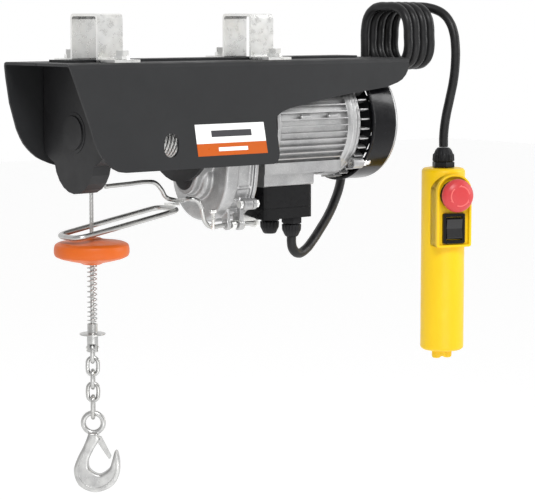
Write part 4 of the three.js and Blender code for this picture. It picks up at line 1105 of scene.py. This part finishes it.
def pendant_gland():
    low = PENDANT_TOP + 0.3
    base = PENDANT.translation
    profile = [(low + 7.4, 0), (low + 7.4, 12.6), (low + 8.4, 13.4), (low + 15.5, 12.9), (low + 17, 11.4),
               (low + 21, 9.8), (low + 23.8, 7.2), (low + 23.8, 0)]
    dome = lathe("pendant_gland_cap", profile, "z", Vector(), BLACK_PLASTIC, "root", 144, 0,
                 ripple=ribbed(18, 0.06, low + 7, low + 17), place=base, angle=40)
    plate("pendant_gland_nut", [hexagon(24)], 3.3, 0.7, BLACK_PLASTIC, "root", Matrix.Identity(4),
          base + Vector((0, 0, (low + 3.5) * MM)))
    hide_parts("pendant_gland")


def estop_cap():
    """The red mushroom, with three arrows round its face that show which way it turns."""
    back = HOOD_FRONT - ESTOP_STAND
    profile = [(back - 13, 0), (back - 12.8, 6), (back - 12.2, 10), (back - 10.9, 13.6), (back - 8.8, 17.0),
               (back - 6.2, 19.3), (back - 3.4, 20.0), (back - 0.8, 19.6), (back, 18.6), (back, 5.3),
               (back - 7, 5.3), (back - 7, 0)]
    cap = lathe("estop_mushroom", profile, "y", Vector((0, 0, ESTOP_Z)), RED, "estop_cap", 96, 0.6, angle=60,
                **ON_PENDANT)
    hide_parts("estop_cap")
    face = PENDANT @ (Vector((0, back - 11.1, ESTOP_Z)) * MM)
    sweep, tip_reach = 74, 18
    for i in range(3):
        start = 120 * i + 10
        end = start + sweep
        band = arc(0, 0, 12.6, start, end, 12) + arc(0, 0, 10.4, end, start, 12)
        head = [polar(9.2, end), polar(13.8, end), polar(11.5, end + tip_reach)]
        for part, outline in enumerate((band, head)):
            plate(f"estop_arrow_{i + 1}_{part + 1}", [outline], 0.7, 0.15, PALE_RED, "estop_cap",
                  FACING @ ACROSS_Y, face)


def rocker_well():
    """Dark bottom of the switch, behind the rocker."""
    half, low, high = 9.8, ROCKER_Z - SEAT_RISE - 13.2, ROCKER_Z - SEAT_RISE + 13.2
    place = point(PENDANT_X, PENDANT_Y, SEAT_RISE) + FACING @ Vector((0, (HOOD_FRONT - 0.45) * MM, 0))
    plate("rocker_well", [[(-half, low), (half, low), (half, high), (-half, high)]], 0.2, 0.05, SATIN_BLACK,
          "root", FACING @ ACROSS_Y, place)


pendant_body()
pendant_hood()
rocker_well()
pendant_gland()
estop_cap()


# ---------------- floor and light
FLOOR_Z = -1.16
FLOOR_HALF = 12.0
BRIGHT_SIDE = (0.6225, 0.7826, 0)


def floor():
    mesh = bpy.data.meshes.new("floor")
    corners = [(a * FLOOR_HALF, b * FLOOR_HALF, FLOOR_Z) for a, b in ((-1, -1), (1, -1), (1, 1), (-1, 1))]
    mesh.from_pydata(corners, [], [(0, 1, 2, 3)])
    made = bpy.data.objects.new("floor", mesh)
    bpy.context.scene.collection.objects.link(made)
    white = Shader("floor_white", (0.92, 0.92, 0.92), 0.8)
    white.set(Emission_Color=(1, 1, 1, 1), Emission_Strength=0.27)
    mesh.materials.append(white.material)


def softbox(name, place, aim, width, height, power):
    data = bpy.data.lights.new(name, "AREA")
    data.shape = "RECTANGLE"
    data.size = width
    data.size_y = height
    data.energy = power
    lamp = bpy.data.objects.new(name, data)
    lamp.location = place
    lamp.rotation_euler = (Vector(aim) - Vector(place)).to_track_quat("-Z", "Y").to_euler()
    bpy.context.scene.collection.objects.link(lamp)


def studio():
    """Pale surroundings that are darker towards the front and left."""
    world = bpy.data.worlds.new("studio")
    world.use_nodes = True
    tree = world.node_tree
    lamp = tree.nodes["Background"]
    where = tree.nodes.new("ShaderNodeTexCoord")
    along = tree.nodes.new("ShaderNodeVectorMath")
    along.operation = "DOT_PRODUCT"
    along.inputs[1].default_value = BRIGHT_SIDE
    spread = tree.nodes.new("ShaderNodeMapRange")
    spread.interpolation_type = "SMOOTHSTEP"
    for socket, value in (("From Min", -0.35), ("From Max", 0.6), ("To Min", 0.55), ("To Max", 1.0)):
        spread.inputs[socket].default_value = value
    lamp.inputs["Color"].default_value = (1, 1, 1, 1)
    tree.links.new(where.outputs["Generated"], along.inputs[0])
    tree.links.new(along.outputs["Value"], spread.inputs["Value"])
    tree.links.new(spread.outputs["Result"], lamp.inputs["Strength"])
    bpy.context.scene.world = world


studio()
bpy.context.scene.view_settings.view_transform = "Standard"

floor()
softbox("key", (-0.9, -1.9, 1.6), (0.05, 0, -0.12), 0.9, 0.7, 42)
softbox("side", (1.9, -1.0, 0.5), (0.1, 0, -0.15), 0.3, 1.4, 12)
softbox("low", (-0.5, -1.8, -0.7), (0.05, 0, -0.2), 1.4, 0.25, 5)
